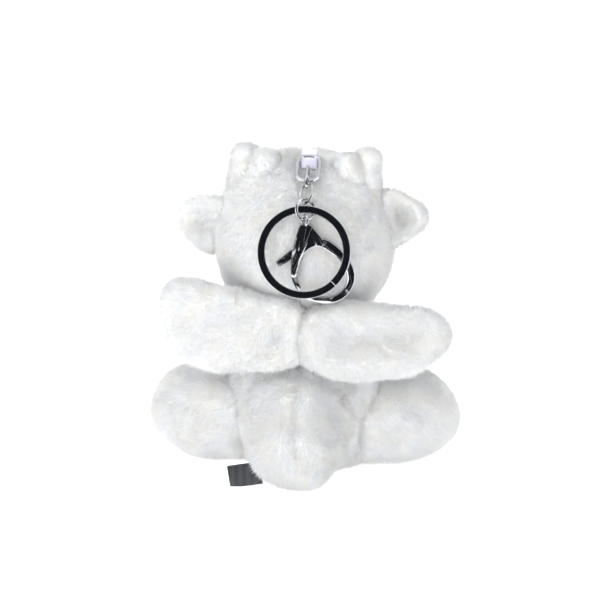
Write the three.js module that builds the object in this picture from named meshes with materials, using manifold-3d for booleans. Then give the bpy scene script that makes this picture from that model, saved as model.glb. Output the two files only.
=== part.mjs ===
// Plush dragon keychain: a seated soft toy with antlers, ears, wings and a stub tail.
// A ribbon tab on the crown carries a short chain, a flat split ring and a lobster clasp.
// Millimetres. +Z is up, the toy faces +Y, its back faces -Y. Origin: middle of the flat seat.
import * as THREE from 'three';
import { mergeVertices } from 'three/addons/utils/BufferGeometryUtils.js';
import Module from 'manifold-3d';

const wasm = await Module();
wasm.setup();

// ---- general fits ----
const GAP = 0.3;
const PANEL = 1.2;
const CUT_REACH = 60;
const PANEL_CLEARANCE = 0.35;
const ROUND = 20;
const STACK = 13;

// ---- plush body ----
const HEAD = { at: [0, 2.5, 78], radii: [29.7, 26, 30.5] };
const TORSO = { at: [0, 4, 24], radii: [24.5, 20, 31] };
const BASE_PANEL_THICKNESS = 1.2;
const BELLY_SPLIT_Y = 7;
const LEG = { at: [31.2, 10, 16.3], radii: [20.5, 17, 16], turn: 20 };
const ARM = { at: [19.5, 19, 38], radii: [6.8, 12.5, 6.6], droop: 32, splay: 12 };
const MUZZLE = { at: [0, 25, 71], radii: [15, 12, 10.5] };
const NOSE = { at: [0, 36.6, 74.5], radii: [4.6, 2.2, 2.8] };
const TAIL = {
  base: [-0.6, -8, 20.5],
  tip: [-1.6, -34.4, 8],
  widen: 1.18,
  profile: [[0, -6], [11, -5], [14.8, 0], [14.6, 8], [13.4, 16], [11, 23], [7, 27.4], [0, 29.4]],
};
const WINGS = {
  left: {
    centre: [-22, 55],
    outline: [
      [0.4, 61.5], [-12, 65.3], [-28, 68.4], [-40, 70.8], [-45.6, 62.9],
      [-43.3, 50.5], [-37, 41.8], [-22, 39.8], [-8, 40.8], [0.4, 44.5],
    ],
  },
  right: {
    centre: [25, 50.5],
    outline: [
      [1.2, 58], [9.8, 62.7], [26, 63], [43, 62.2], [50.4, 55],
      [47.6, 46.6], [34, 39.2], [15.4, 37.8], [5, 40.4], [1.2, 46],
    ],
  },
  y: -21.5,
  halfThickness: 6.6,
  opening: 15,
  middleX: 0.8,
  hingeInset: 0.5,
};
const EARS = {
  left: {
    centre: [-31, 84],
    outline: [
      [-21, 90], [-31.5, 93.4], [-38.6, 91], [-40.7, 85.5],
      [-38.6, 79], [-31.5, 73.4], [-22, 75],
    ],
    hinge: [-27.5, -0.5, 83.5],
  },
  right: {
    centre: [31, 87],
    outline: [
      [20, 92], [28.5, 97.3], [36, 94.2], [40.4, 88.5],
      [38.4, 82.5], [31.5, 76.6], [22, 78],
    ],
    hinge: [27.3, -0.5, 87],
  },
  y: -0.5,
  halfThickness: 4.2,
  flex: 12,
};
const ANTLERS = {
  left: { main: [[-18.6, -1, 92], [-19.4, -1, 107.2]], prong: [[-14.5, -5, 94], [-12.4, -6, 106.8]] },
  right: { main: [[18, -1, 93], [21.4, -1, 106.4]], prong: [[16, -5, 92], [15.2, -6.6, 106.4]] },
  mainRadius: 4.5,
  prongRadius: 3.5,
  room: { size: [18, 30, 40], x: 16.4, z: 104 },
};

// ---- eyes ----
const EYE = {
  x: 11.5,
  z: 82,
  dome: 3.4,
  height: 2,
  shank: 0.9,
  shankLength: 5.2,
  washer: 3,
  washerThickness: 0.8,
  washerInset: 0.95,
  washerBore: 1.2,
};

// ---- side label, a folded woven strip ----
const LABEL = {
  root: [-12.2, -22.6, 4.7],
  length: 11,
  width: 7.4,
  cloth: 0.4,
  fold: 0.55,
  turn: 184,
  droop: 8,
};

// ---- ribbon tab and chain ----
const TAB = {
  at: [2.6, -8.1, 106.3],
  lean: 24,
  width: 5,
  cloth: 0.5,
  reach: 5.2,
  hole: 1.65,
  pinch: 0.8,
  sewnIn: 1.5,
};
const TAB_RING = { top: [2.6, -9.7, 109.3], length: 10.4, width: 7.4, wire: 0.6, lean: 52.8, power: 3.4 };
const LINK_UPPER = { length: 8, width: 4.4, wire: 0.5, lean: 46, ringAt: 2.75 };
const LINK_LOWER = { length: 7.7, width: 5.2, wire: 0.45, lean: 51, yaw: -36, seat: 1.25 };
const JUMP_RING = { radius: 3.3, wire: 0.45, yaw: 36, seat: 1.27 };
const KEY_RING = { outer: 15, band: 2.4, strip: 0.58, layer: 0.36, lean: 18, jog: 44, drop: 13.86 };

// ---- lobster clasp, hanging upright behind the split ring ----
const CLASP = {
  thickness: 3,
  eye: 1.6,
  eyeWire: 0.5,
  eyeDrop: 0.35,
  slot: 1.9,
  slotLeft: 12,
  slotRight: 1.2,
  slotTop: 8.3,
  slotBottom: 22,
  hookThinner: 0.6,
  pinClearance: 0.12,
  bevel: 0.35,
};
const CLASP_PLATE = [
  [-1.5, -1.4], [1.6, -1.4], [4.4, -4.2], [6.4, -7.4], [5.6, -8.6], [3.2, -8.6],
  [0.2, -10.6], [-1.6, -14], [-2.6, -18.6], [-4.4, -18.2], [-4.2, -12], [-3, -6],
];
const CLASP_HOOK = [
  [4.4, -6.6], [8.4, -8.8], [12.3, -12.3], [14.7, -16.5], [14.7, -20.5],
  [12.6, -24.2], [9, -26.2], [5, -26.4], [1.4, -25.4], [-0.6, -24.4],
];
const CLASP_HOOK_WIDTH = [3.2, 1.7];
const CLASP_GATE_ARM = [[-1.9, -10.6], [-3, -15], [-3.4, -18.4], [-2.6, -21.4], [-1.5, -23.2]];
const CLASP_GATE_ARM_WIDTH = [2.6, 1.2];
const CLASP_THUMB = [[-1.9, -10.6], [-4.4, -11.6], [-6.6, -13.4], [-8.8, -15]];
const CLASP_THUMB_WIDTH = [2.6, 2.1];
const CLASP_PIN = { at: [-1.9, -10.6], radius: 0.55 };
const CLASP_SPRING = { radius: 1.05, wire: 0.16, turns: 1.8, pocket: 1.5 };

const FABRIC = { color: 0xf1f0ec, roughness: 0.95, metalness: 0 };
const FILL = { color: 0xe9e9e4, roughness: 1, metalness: 0 };
const RIBBON = { color: 0xe6e4f2, roughness: 0.7, metalness: 0 };
const WOVEN_BLACK = { color: 0x1c1d20, roughness: 0.85, metalness: 0 };
const THREAD_GREY = { color: 0x6d6f76, roughness: 0.8, metalness: 0 };
const NICKEL = { color: 0xb9bcc2, roughness: 0.12, metalness: 1 };
const SPRING_STEEL = { color: 0x8c9097, roughness: 0.3, metalness: 1 };
const GLOSS_BLACK = { color: 0x0c0c0e, roughness: 0.1, metalness: 0 };
const WASHER_WHITE = { color: 0xd9d9d6, roughness: 0.5, metalness: 0 };

/** Closed manifold body from a three.js geometry. */
function solid(geometry) {
  const bare = new THREE.BufferGeometry();
  bare.setAttribute('position', geometry.getAttribute('position').clone());
  if (geometry.index) bare.setIndex(geometry.index.clone());
  const merged = mergeVertices(bare, 1e-4);
  const corners = merged.index.array;
  const kept = [];
  for (let i = 0; i < corners.length; i += 3) {
    const [a, b, c] = [corners[i], corners[i + 1], corners[i + 2]];
    if (a !== b && b !== c && c !== a) kept.push(a, b, c);
  }
  const mesh = new wasm.Mesh({
    numProp: 3,
    vertProperties: new Float32Array(merged.getAttribute('position').array),
    triVerts: new Uint32Array(kept),
  });
  return new wasm.Manifold(mesh);
}

/** Three.js geometry from a manifold body. */
function geometryOf(body) {
  const mesh = body.getMesh();
  const geometry = new THREE.BufferGeometry();
  geometry.setAttribute('position', new THREE.BufferAttribute(new Float32Array(mesh.vertProperties), 3));
  geometry.setIndex(new THREE.BufferAttribute(new Uint32Array(mesh.triVerts), 1));
  geometry.computeVertexNormals();
  return geometry;
}

/** Named mesh from a manifold body or a plain geometry. */
function piece(name, shape, finish) {
  const geometry = shape instanceof THREE.BufferGeometry ? shape : geometryOf(shape);
  const mesh = new THREE.Mesh(geometry, new THREE.MeshStandardMaterial(finish));
  mesh.name = name;
  return mesh;
}

/** Body with every tool in a list taken away. */
function cut(body, tools) {
  return tools.reduce((rest, tool) => rest.subtract(tool), body);
}

/** Axis-aligned block between two corners. */
function block(low, high) {
  const size = high.map((value, i) => value - low[i]);
  const geometry = new THREE.BoxGeometry(...size);
  geometry.translate(...high.map((value, i) => (value + low[i]) / 2));
  return solid(geometry);
}

/** Ellipsoid geometry, its radii grown by an allowance, turned about Z and tipped about X. */
function ellipsoid(at, radii, grow = 0, turn = 0, tip = 0) {
  const geometry = new THREE.SphereGeometry(1, ROUND, STACK);
  geometry.rotateX(Math.PI / 2);
  geometry.scale(...radii.map((radius) => radius + grow));
  geometry.rotateX(THREE.MathUtils.degToRad(tip));
  geometry.rotateZ(THREE.MathUtils.degToRad(turn));
  geometry.translate(...at);
  return geometry;
}

/** Distance from the centre of an outline to its edge, as a function of the angle. */
function outlineRadius(centre, outline) {
  const points = outline.map(([x, z]) => new THREE.Vector3(x, 0, z));
  const curve = new THREE.CatmullRomCurve3(points, true, 'catmullrom', 0.5);
  const polar = curve.getPoints(240).map((point) => {
    const dx = point.x - centre[0];
    const dz = point.z - centre[1];
    return [Math.atan2(dz, dx), Math.hypot(dx, dz)];
  });
  polar.sort((a, b) => a[0] - b[0]);
  return (angle) => {
    const found = polar.findIndex((entry) => entry[0] >= angle);
    const after = polar[found < 0 ? 0 : found];
    const before = polar[(found <= 0 ? polar.length : found) - 1];
    const span = (after[0] - before[0] + 4 * Math.PI) % (2 * Math.PI) || 1;
    const along = (angle - before[0] + 4 * Math.PI) % (2 * Math.PI);
    return THREE.MathUtils.lerp(before[1], after[1], Math.min(along / span, 1));
  };
}

/** Stuffed pad: an outline in the XZ plane, rounded to both faces. */
function pad(part, y, halfThickness) {
  const radiusAt = outlineRadius(part.centre, part.outline);
  const geometry = new THREE.SphereGeometry(1, ROUND + 8, STACK);
  const position = geometry.getAttribute('position');
  for (let i = 0; i < position.count; i += 1) {
    const [x, height, z] = [position.getX(i), position.getY(i), position.getZ(i)];
    const reach = Math.hypot(x, z);
    const angle = Math.atan2(z, x);
    const radius = reach < 1e-6 ? 0 : radiusAt(angle) * reach ** 0.85;
    position.setXYZ(
      i,
      part.centre[0] + radius * Math.cos(angle),
      y + height * halfThickness,
      part.centre[1] + radius * Math.sin(angle),
    );
  }
  return solid(geometry);
}

/** Rounded rod between two points. */
function rod(from, to, radius) {
  const a = new THREE.Vector3(...from);
  const b = new THREE.Vector3(...to);
  const geometry = new THREE.CapsuleGeometry(radius, a.distanceTo(b), 5, 14);
  const turn = new THREE.Quaternion().setFromUnitVectors(
    new THREE.Vector3(0, 1, 0),
    b.clone().sub(a).normalize(),
  );
  geometry.applyQuaternion(turn);
  geometry.translate(...a.add(b).multiplyScalar(0.5).toArray());
  return solid(geometry);
}

/** Cylinder of a given radius along an axis, starting at a point. */
function cylinder(start, direction, radius, length) {
  const axis = direction.clone().normalize();
  const geometry = new THREE.CylinderGeometry(radius, radius, length, 24);
  geometry.applyQuaternion(new THREE.Quaternion().setFromUnitVectors(new THREE.Vector3(0, 1, 0), axis));
  geometry.translate(...start.clone().addScaledVector(axis, length / 2).toArray());
  return solid(geometry);
}

/** Body turned about an upright line through a point. */
function turnedAbout(body, pivot, degrees) {
  return body
    .translate([-pivot[0], -pivot[1], -pivot[2]])
    .rotate([0, 0, degrees])
    .translate(pivot);
}

const headOuter = (grow = 0) => solid(ellipsoid(HEAD.at, HEAD.radii, grow));
const torsoOuter = (grow = 0) => solid(ellipsoid(TORSO.at, TORSO.radii, grow));
const legOuter = (side, grow = 0) =>
  solid(ellipsoid([side * LEG.at[0], LEG.at[1], LEG.at[2]], LEG.radii, grow, side * LEG.turn));
const muzzleOuter = (grow = 0) => solid(ellipsoid(MUZZLE.at, MUZZLE.radii, grow));

/** Blunt tail cone along its leaning axis. */
function tailOuter(grow = 0) {
  const spline = new THREE.SplineCurve(TAIL.profile.map(([r, h]) => new THREE.Vector2(r, h)));
  const points = spline.getPoints(16).map((p) => new THREE.Vector2(Math.max(p.x, 0), p.y));
  points[0].x = 0;
  points[points.length - 1].x = 0;
  const geometry = new THREE.LatheGeometry(points, ROUND);
  const length = TAIL.profile[TAIL.profile.length - 1][1];
  const stretch = 1 + grow / TAIL.profile[2][0];
  geometry.scale(stretch, 1 + grow / length, stretch);
  const axis = new THREE.Vector3(...TAIL.tip).sub(new THREE.Vector3(...TAIL.base));
  geometry.scale(TAIL.widen, axis.length() / length, 1);
  return solid(aim(geometry, new THREE.Vector3(...TAIL.base), axis.normalize()));
}

/** Frame of the eye on one side: its seat on the head and the outward direction. */
function eyeFrame(side) {
  const [rx, ry, rz] = HEAD.radii;
  const dx = side * EYE.x;
  const dz = EYE.z - HEAD.at[2];
  const dy = ry * Math.sqrt(1 - (dx / rx) ** 2 - (dz / rz) ** 2);
  const seat = new THREE.Vector3(dx, HEAD.at[1] + dy, EYE.z);
  const outward = new THREE.Vector3(dx / rx ** 2, dy / ry ** 2, dz / rz ** 2).normalize();
  return { seat, outward };
}

/** Geometry turned so that its own +Y runs along a direction, then placed. */
function aim(geometry, at, direction) {
  geometry.applyQuaternion(new THREE.Quaternion().setFromUnitVectors(new THREE.Vector3(0, 1, 0), direction));
  geometry.translate(...at.toArray());
  return geometry;
}

/** Domed safety eye with its shank. */
function eye(side) {
  const { seat, outward } = eyeFrame(side);
  const profile = [
    [0, -EYE.shankLength], [EYE.shank, -EYE.shankLength], [EYE.shank, GAP], [EYE.dome, GAP],
    [EYE.dome * 0.92, 1], [EYE.dome * 0.62, 1.75], [0, EYE.height + GAP],
  ];
  const points = profile.map(([r, h]) => new THREE.Vector2(r, h));
  return solid(aim(new THREE.LatheGeometry(points, 24), seat, outward));
}

/** Locking washer on the shank, inside the head. */
function eyeWasher(side) {
  const { seat, outward } = eyeFrame(side);
  const inner = EYE.washerBore;
  const high = -PANEL - EYE.washerInset;
  const low = high - EYE.washerThickness;
  const profile = [[inner, low], [EYE.washer, low], [EYE.washer, high], [inner, high], [inner, low]];
  const points = profile.map(([r, h]) => new THREE.Vector2(r, h));
  return solid(aim(new THREE.LatheGeometry(points, 24), seat, outward));
}

/** Room the eye and its washer need, through the skin and in the filling. */
function eyeRoom(side) {
  const { seat, outward } = eyeFrame(side);
  const shankStart = seat.clone().addScaledVector(outward, -EYE.shankLength - GAP);
  const washerDepth = PANEL + EYE.washerInset + EYE.washerThickness + GAP;
  const washerStart = seat.clone().addScaledVector(outward, -washerDepth);
  return {
    shankRoom: cylinder(shankStart, outward, EYE.shank + GAP, EYE.shankLength + 4),
    washerRoom: cylinder(washerStart, outward, EYE.washer + GAP, washerDepth + 2),
  };
}

/** Head: two skin halves around the filling, with the eyes' holes. */
function headPieces() {
  const skin = headOuter().subtract(headOuter(-PANEL));
  const rooms = [eyeRoom(-1), eyeRoom(1)];
  const shanks = rooms.map((room) => room.shankRoom);
  const seats = rooms.map((room) => room.washerRoom);
  const fill = cut(headOuter(-PANEL - PANEL_CLEARANCE), [...shanks, ...seats]);
  const leftHalf = skin.intersect(block([-60, -60, 0], [-GAP / 2, 60, 140]));
  const rightHalf = skin.intersect(block([GAP / 2, -60, 0], [60, 60, 140]));
  return [
    piece('head_panel_left', cut(leftHalf, shanks), FABRIC),
    piece('head_panel_right', cut(rightHalf, shanks), FABRIC),
    piece('head_stuffing', fill, FILL),
    piece('eye_left', eye(-1), GLOSS_BLACK),
    piece('eye_right', eye(1), GLOSS_BLACK),
    piece('eye_washer_left', eyeWasher(-1), WASHER_WHITE),
    piece('eye_washer_right', eyeWasher(1), WASHER_WHITE),
  ];
}

/** Muzzle lobe and its stitched nose. */
function facePieces() {
  const muzzle = muzzleOuter().subtract(headOuter(GAP));
  const nose = solid(ellipsoid(NOSE.at, NOSE.radii)).subtract(muzzleOuter(GAP));
  return [piece('muzzle', muzzle, FABRIC), piece('nose_patch', nose, THREAD_GREY)];
}

/** Torso: two back panels, a belly panel and a flat base panel around the filling. */
function torsoPieces() {
  const aboveFloor = block([-60, -60, 0], [60, 60, 100]);
  const neck = headOuter(GAP);
  const innerFloor = BASE_PANEL_THICKNESS + PANEL_CLEARANCE;
  const skin = torsoOuter()
    .intersect(aboveFloor)
    .subtract(torsoOuter(-PANEL))
    .subtract(neck);
  const walls = skin.intersect(block([-60, -60, innerFloor], [60, 60, 100]));
  const base = torsoOuter()
    .intersect(block([-60, -60, 0], [60, 60, BASE_PANEL_THICKNESS]));
  const fill = torsoOuter(-PANEL - PANEL_CLEARANCE)
    .intersect(block([-60, -60, innerFloor], [60, 60, 100]))
    .subtract(neck);
  const backLeft = block([-60, -60, 0], [-GAP / 2, BELLY_SPLIT_Y - GAP / 2, 100]);
  const backRight = block([GAP / 2, -60, 0], [60, BELLY_SPLIT_Y - GAP / 2, 100]);
  const front = block([-60, BELLY_SPLIT_Y + GAP / 2, 0], [60, 60, 100]);
  return [
    piece('torso_back_left', walls.intersect(backLeft), FABRIC),
    piece('torso_back_right', walls.intersect(backRight), FABRIC),
    piece('torso_belly', walls.intersect(front), FABRIC),
    piece('torso_base', base, FABRIC),
    piece('torso_stuffing', fill, FILL),
  ];
}

/** Leg lobe on one side, clear of the torso and the tail. */
function leg(side) {
  return cut(legOuter(side), [torsoOuter(GAP), tailOuter(2 * GAP)]);
}

/** Arm lobe on one side, drooping forward from the chest. */
function arm(side) {
  const at = [side * ARM.at[0], ARM.at[1], ARM.at[2]];
  const lobe = solid(ellipsoid(at, ARM.radii, 0, -side * ARM.splay, -ARM.droop));
  return cut(lobe, [torsoOuter(GAP), headOuter(GAP), legOuter(side, GAP)]);
}

/** Antler: a main rod with a short prong. */
function antler(side) {
  const part = ANTLERS[side];
  const main = rod(part.main[0], part.main[1], ANTLERS.mainRadius);
  const prong = rod(part.prong[0], part.prong[1], ANTLERS.prongRadius);
  return main.add(prong).subtract(headOuter(GAP));
}

/** Ear pad, cut clear of the head over its whole flex. */
function ear(side) {
  const part = EARS[side];
  const head = headOuter(GAP);
  const swept = [-EARS.flex, -EARS.flex / 2, 0, EARS.flex / 2, EARS.flex]
    .map((degrees) => turnedAbout(head, part.hinge, degrees));
  const roomX = Math.sign(part.centre[0]) * ANTLERS.room.x;
  const roomBox = new THREE.BoxGeometry(...ANTLERS.room.size).translate(roomX, 0, ANTLERS.room.z);
  const antlerRoom = solid(roomBox);
  return cut(pad(part, EARS.y, EARS.halfThickness), [...swept, antlerRoom]);
}

/** Wing pad, clear of the head, the torso and the tail. */
function wing(side) {
  const outward = side === 'left' ? -1 : 1;
  const near = WINGS.middleX + (outward * GAP) / 2;
  const far = WINGS.middleX - outward * CUT_REACH;
  const beyond = block(
    [Math.min(near, far), -CUT_REACH, 0],
    [Math.max(near, far), CUT_REACH, 2 * CUT_REACH],
  );
  const hinge = [WINGS.middleX + outward * WINGS.hingeInset, WINGS.y, 0];
  const opened = turnedAbout(beyond, hinge, outward * WINGS.opening);
  const tools = [headOuter(GAP), torsoOuter(GAP), tailOuter(2 * GAP), beyond, opened];
  return cut(pad(WINGS[side], WINGS.y, WINGS.halfThickness), tools);
}

/** Soft limbs and trim of the plush. */
function limbPieces() {
  return [
    piece('antler_left', antler('left'), FABRIC),
    piece('antler_right', antler('right'), FABRIC),
    piece('ear_left', ear('left'), FABRIC),
    piece('ear_right', ear('right'), FABRIC),
    piece('wing_left', wing('left'), FABRIC),
    piece('wing_right', wing('right'), FABRIC),
    piece('leg_left', leg(-1), FABRIC),
    piece('leg_right', leg(1), FABRIC),
    piece('arm_left', arm(-1), FABRIC),
    piece('arm_right', arm(1), FABRIC),
    piece('tail', tailOuter().subtract(torsoOuter(GAP)), FABRIC),
  ];
}

/** Outline of a strip of changing width along a flat line of points. */
function stripShape(points, widths, roundEnds = true) {
  const curve = new THREE.SplineCurve(points.map(([x, y]) => new THREE.Vector2(x, y)));
  const count = 22;
  const [first, second] = [[], []];
  for (let i = 0; i <= count; i += 1) {
    const t = i / count;
    const at = curve.getPoint(t);
    const along = curve.getTangent(t);
    const half = THREE.MathUtils.lerp(widths[0], widths[1], t) / 2;
    const ease = roundEnds ? Math.min(1, Math.sqrt(Math.min(t, 1 - t) * 14 + 0.18)) : 1;
    first.push(new THREE.Vector2(at.x - along.y * half * ease, at.y + along.x * half * ease));
    second.push(new THREE.Vector2(at.x + along.y * half * ease, at.y - along.x * half * ease));
  }
  return new THREE.Shape([...first, ...second.reverse()]);
}

/** Flat shape drawn in XZ, given a thickness along Y about a middle plane. */
function plateXZ(shape, thickness, at, bevel = 0) {
  const geometry = new THREE.ExtrudeGeometry(shape, {
    depth: thickness - 2 * bevel,
    bevelEnabled: bevel > 0,
    bevelThickness: bevel,
    bevelSize: bevel,
    bevelOffset: -bevel,
    bevelSegments: 2,
    curveSegments: 6,
  });
  geometry.translate(0, 0, -(thickness - 2 * bevel) / 2);
  geometry.rotateX(Math.PI / 2);
  geometry.translate(...at);
  return solid(geometry);
}

/** Woven label folded in half, its two layers joined at the far end. */
function sideLabel() {
  const gapHalf = LABEL.fold / 2;
  const outer = gapHalf + LABEL.cloth;
  const reach = LABEL.length - outer;
  const shape = new THREE.Shape();
  shape.moveTo(0, gapHalf);
  shape.lineTo(reach, gapHalf);
  shape.absarc(reach, 0, gapHalf, Math.PI / 2, -Math.PI / 2, true);
  shape.lineTo(0, -gapHalf);
  shape.lineTo(0, -outer);
  shape.lineTo(reach, -outer);
  shape.absarc(reach, 0, outer, -Math.PI / 2, Math.PI / 2, false);
  shape.lineTo(0, outer);
  shape.closePath();
  const options = { depth: LABEL.width, bevelEnabled: false, curveSegments: 8 };
  const geometry = new THREE.ExtrudeGeometry(shape, options);
  geometry.translate(0, 0, -LABEL.width / 2);
  geometry.rotateY(THREE.MathUtils.degToRad(LABEL.droop));
  geometry.rotateZ(THREE.MathUtils.degToRad(LABEL.turn));
  geometry.translate(...LABEL.root);
  return cut(solid(geometry), [tailOuter(2 * GAP), legOuter(-1, GAP)]);
}

/** Ribbon loop standing on the crown. */
function ribbonTab() {
  const outer = TAB.hole + TAB.cloth;
  const shape = new THREE.Shape();
  shape.moveTo(-outer * TAB.pinch, -TAB.sewnIn);
  shape.lineTo(-outer, TAB.reach - outer);
  shape.absarc(0, TAB.reach - outer, outer, Math.PI, 0, true);
  shape.lineTo(outer * TAB.pinch, -TAB.sewnIn);
  shape.lineTo(outer * TAB.pinch - TAB.cloth, -TAB.sewnIn);
  shape.lineTo(TAB.hole, TAB.reach - outer);
  shape.absarc(0, TAB.reach - outer, TAB.hole, 0, Math.PI, false);
  shape.lineTo(-outer * TAB.pinch + TAB.cloth, -TAB.sewnIn);
  shape.closePath();
  const options = { depth: TAB.width, bevelEnabled: false, curveSegments: 10 };
  const geometry = new THREE.ExtrudeGeometry(shape, options);
  geometry.translate(0, 0, -TAB.width / 2);
  geometry.rotateX(Math.PI / 2);
  geometry.rotateZ(Math.PI / 2);
  geometry.rotateX(THREE.MathUtils.degToRad(TAB.lean));
  geometry.translate(...TAB.at);
  return solid(geometry).subtract(headOuter(GAP));
}

/** Closed oval wire path: flat-topped by its power, long side along its second axis. */
class OvalPath extends THREE.Curve {
  constructor(width, length, power, frame) {
    super();
    Object.assign(this, { width, length, power, frame });
  }

  getPoint(t, target = new THREE.Vector3()) {
    const angle = t * 2 * Math.PI;
    const round = (value) => Math.sign(value) * Math.abs(value) ** (2 / this.power);
    const across = (this.width / 2) * round(Math.cos(angle));
    const along = (this.length / 2) * round(Math.sin(angle));
    return target.copy(this.frame.at)
      .addScaledVector(this.frame.across, across)
      .addScaledVector(this.frame.up, along);
  }
}

/** Frame leaning back from upright by an angle, then yawed about its own up line. */
function leaningFrame(at, lean, yaw) {
  const tilt = THREE.MathUtils.degToRad(lean);
  const turn = THREE.MathUtils.degToRad(yaw);
  const up = new THREE.Vector3(0, Math.sin(tilt), Math.cos(tilt));
  const inward = new THREE.Vector3(0, Math.cos(tilt), -Math.sin(tilt));
  const side = new THREE.Vector3(1, 0, 0);
  return {
    at,
    up,
    across: side.clone().multiplyScalar(Math.cos(turn)).addScaledVector(inward, Math.sin(turn)),
    through: inward.clone().multiplyScalar(Math.cos(turn)).addScaledVector(side, -Math.sin(turn)),
  };
}

/** Wire bent into a closed oval. */
function ovalLink(frame, width, length, wire, power = 2.3) {
  const path = new OvalPath(width, length, power, frame);
  return solid(new THREE.TubeGeometry(path, 32, wire, 8, true));
}

/** Where every chain element hangs, worked down from the ribbon. */
function chainFrames() {
  const point = (xyz) => new THREE.Vector3(...xyz);
  const ring = leaningFrame(point(TAB_RING.top), TAB_RING.lean, 0);
  ring.at.addScaledVector(ring.up, -TAB_RING.length / 2);
  const ringBottom = ring.at.clone().addScaledVector(ring.up, -TAB_RING.length / 2);
  const upper = leaningFrame(ringBottom.clone(), LINK_UPPER.lean, 90);
  upper.at.addScaledVector(upper.up, LINK_UPPER.length / 2 - LINK_UPPER.ringAt);
  const upperBottom = upper.at.clone().addScaledVector(upper.up, -LINK_UPPER.length / 2);
  const lowerTop = upperBottom.clone().addScaledVector(upper.up, LINK_LOWER.seat);
  const lower = leaningFrame(lowerTop.clone(), LINK_LOWER.lean, LINK_LOWER.yaw);
  lower.at.addScaledVector(lower.up, -LINK_LOWER.length / 2);
  const lowerBottom = lower.at.clone().addScaledVector(lower.up, -LINK_LOWER.length / 2);
  const jump = leaningFrame(lowerBottom.clone(), KEY_RING.lean, JUMP_RING.yaw);
  jump.at.addScaledVector(jump.up, JUMP_RING.seat - JUMP_RING.radius);
  const jumpBottom = jump.at.clone().addScaledVector(jump.up, -JUMP_RING.radius);
  const key = leaningFrame(jump.at.clone(), KEY_RING.lean, 0);
  key.at.addScaledVector(key.up, -KEY_RING.drop);
  const claspEye = leaningFrame(jumpBottom.clone(), KEY_RING.lean, JUMP_RING.yaw + 90);
  claspEye.at.addScaledVector(claspEye.up, -CLASP.eyeDrop);
  return { ring, ringBottom, upper, lowerTop, lower, lowerBottom, jump, jumpBottom, key, claspEye };
}

const CHAIN = chainFrames();

/** Flat split ring: one strip wound twice, stepping between its layers over the jog. */
function keyRing() {
  const start = THREE.MathUtils.degToRad(-90 + KEY_RING.jog);
  const sweep = THREE.MathUtils.degToRad(720 - 2 * KEY_RING.jog);
  const steps = 90;
  const middle = KEY_RING.outer - KEY_RING.band / 2;
  const geometry = new THREE.BoxGeometry(1, KEY_RING.band, KEY_RING.strip, steps, 1, 1);
  const position = geometry.getAttribute('position');
  const jogFrom = THREE.MathUtils.degToRad(270 - KEY_RING.jog);
  const jogTo = THREE.MathUtils.degToRad(270 + KEY_RING.jog);
  for (let i = 0; i < position.count; i += 1) {
    const angle = start + (position.getX(i) + 0.5) * sweep;
    const radius = middle + position.getY(i);
    const layer = THREE.MathUtils.smoothstep(angle, jogFrom, jogTo) * 2 - 1;
    const depth = position.getZ(i) + layer * KEY_RING.layer;
    const place = CHAIN.key.at.clone()
      .addScaledVector(CHAIN.key.across, radius * Math.cos(angle))
      .addScaledVector(CHAIN.key.up, radius * Math.sin(angle))
      .addScaledVector(CHAIN.key.through, depth);
    position.setXYZ(i, place.x, place.y, place.z);
  }
  return solid(geometry);
}

/** Absolute middle-plane origin of the clasp: its drawing starts at the bottom of the jump ring. */
function claspOrigin() {
  const at = CHAIN.jumpBottom;
  return [at.x, at.y, at.z];
}

/** Clasp body: eye, plate and fixed hook in one casting, slotted for the gate. */
function claspBody() {
  const origin = claspOrigin();
  const plateOutline = new THREE.SplineCurve(
    [...CLASP_PLATE, CLASP_PLATE[0]].map(([x, z]) => new THREE.Vector2(x, z)),
  );
  const plateShape = new THREE.Shape(plateOutline.getPoints(48).slice(0, -1));
  const plate = plateXZ(plateShape, CLASP.thickness, origin, CLASP.bevel);
  const hookShape = stripShape(CLASP_HOOK, CLASP_HOOK_WIDTH);
  const hookThickness = CLASP.thickness - CLASP.hookThinner;
  const hook = plateXZ(hookShape, hookThickness, origin, CLASP.bevel);
  const eyeRing = ovalLink(CHAIN.claspEye, 2 * CLASP.eye, 2 * CLASP.eye, CLASP.eyeWire, 2);
  const half = CLASP.slot / 2;
  const slot = block(
    [origin[0] - CLASP.slotLeft, origin[1] - half, origin[2] - CLASP.slotBottom],
    [origin[0] + CLASP.slotRight, origin[1] + half, origin[2] - CLASP.slotTop],
  );
  const pinHole = claspPinSolid(CLASP.pinClearance, CLASP.thickness + 2);
  return eyeRing.add(plate.add(hook).subtract(slot)).subtract(pinHole);
}

/** Pin cylinder across the clasp, with a radial allowance. */
function claspPinSolid(allowance, length) {
  const origin = claspOrigin();
  const start = new THREE.Vector3(
    origin[0] + CLASP_PIN.at[0],
    origin[1] - length / 2,
    origin[2] + CLASP_PIN.at[1],
  );
  return cylinder(start, new THREE.Vector3(0, 1, 0), CLASP_PIN.radius + allowance, length);
}

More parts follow.
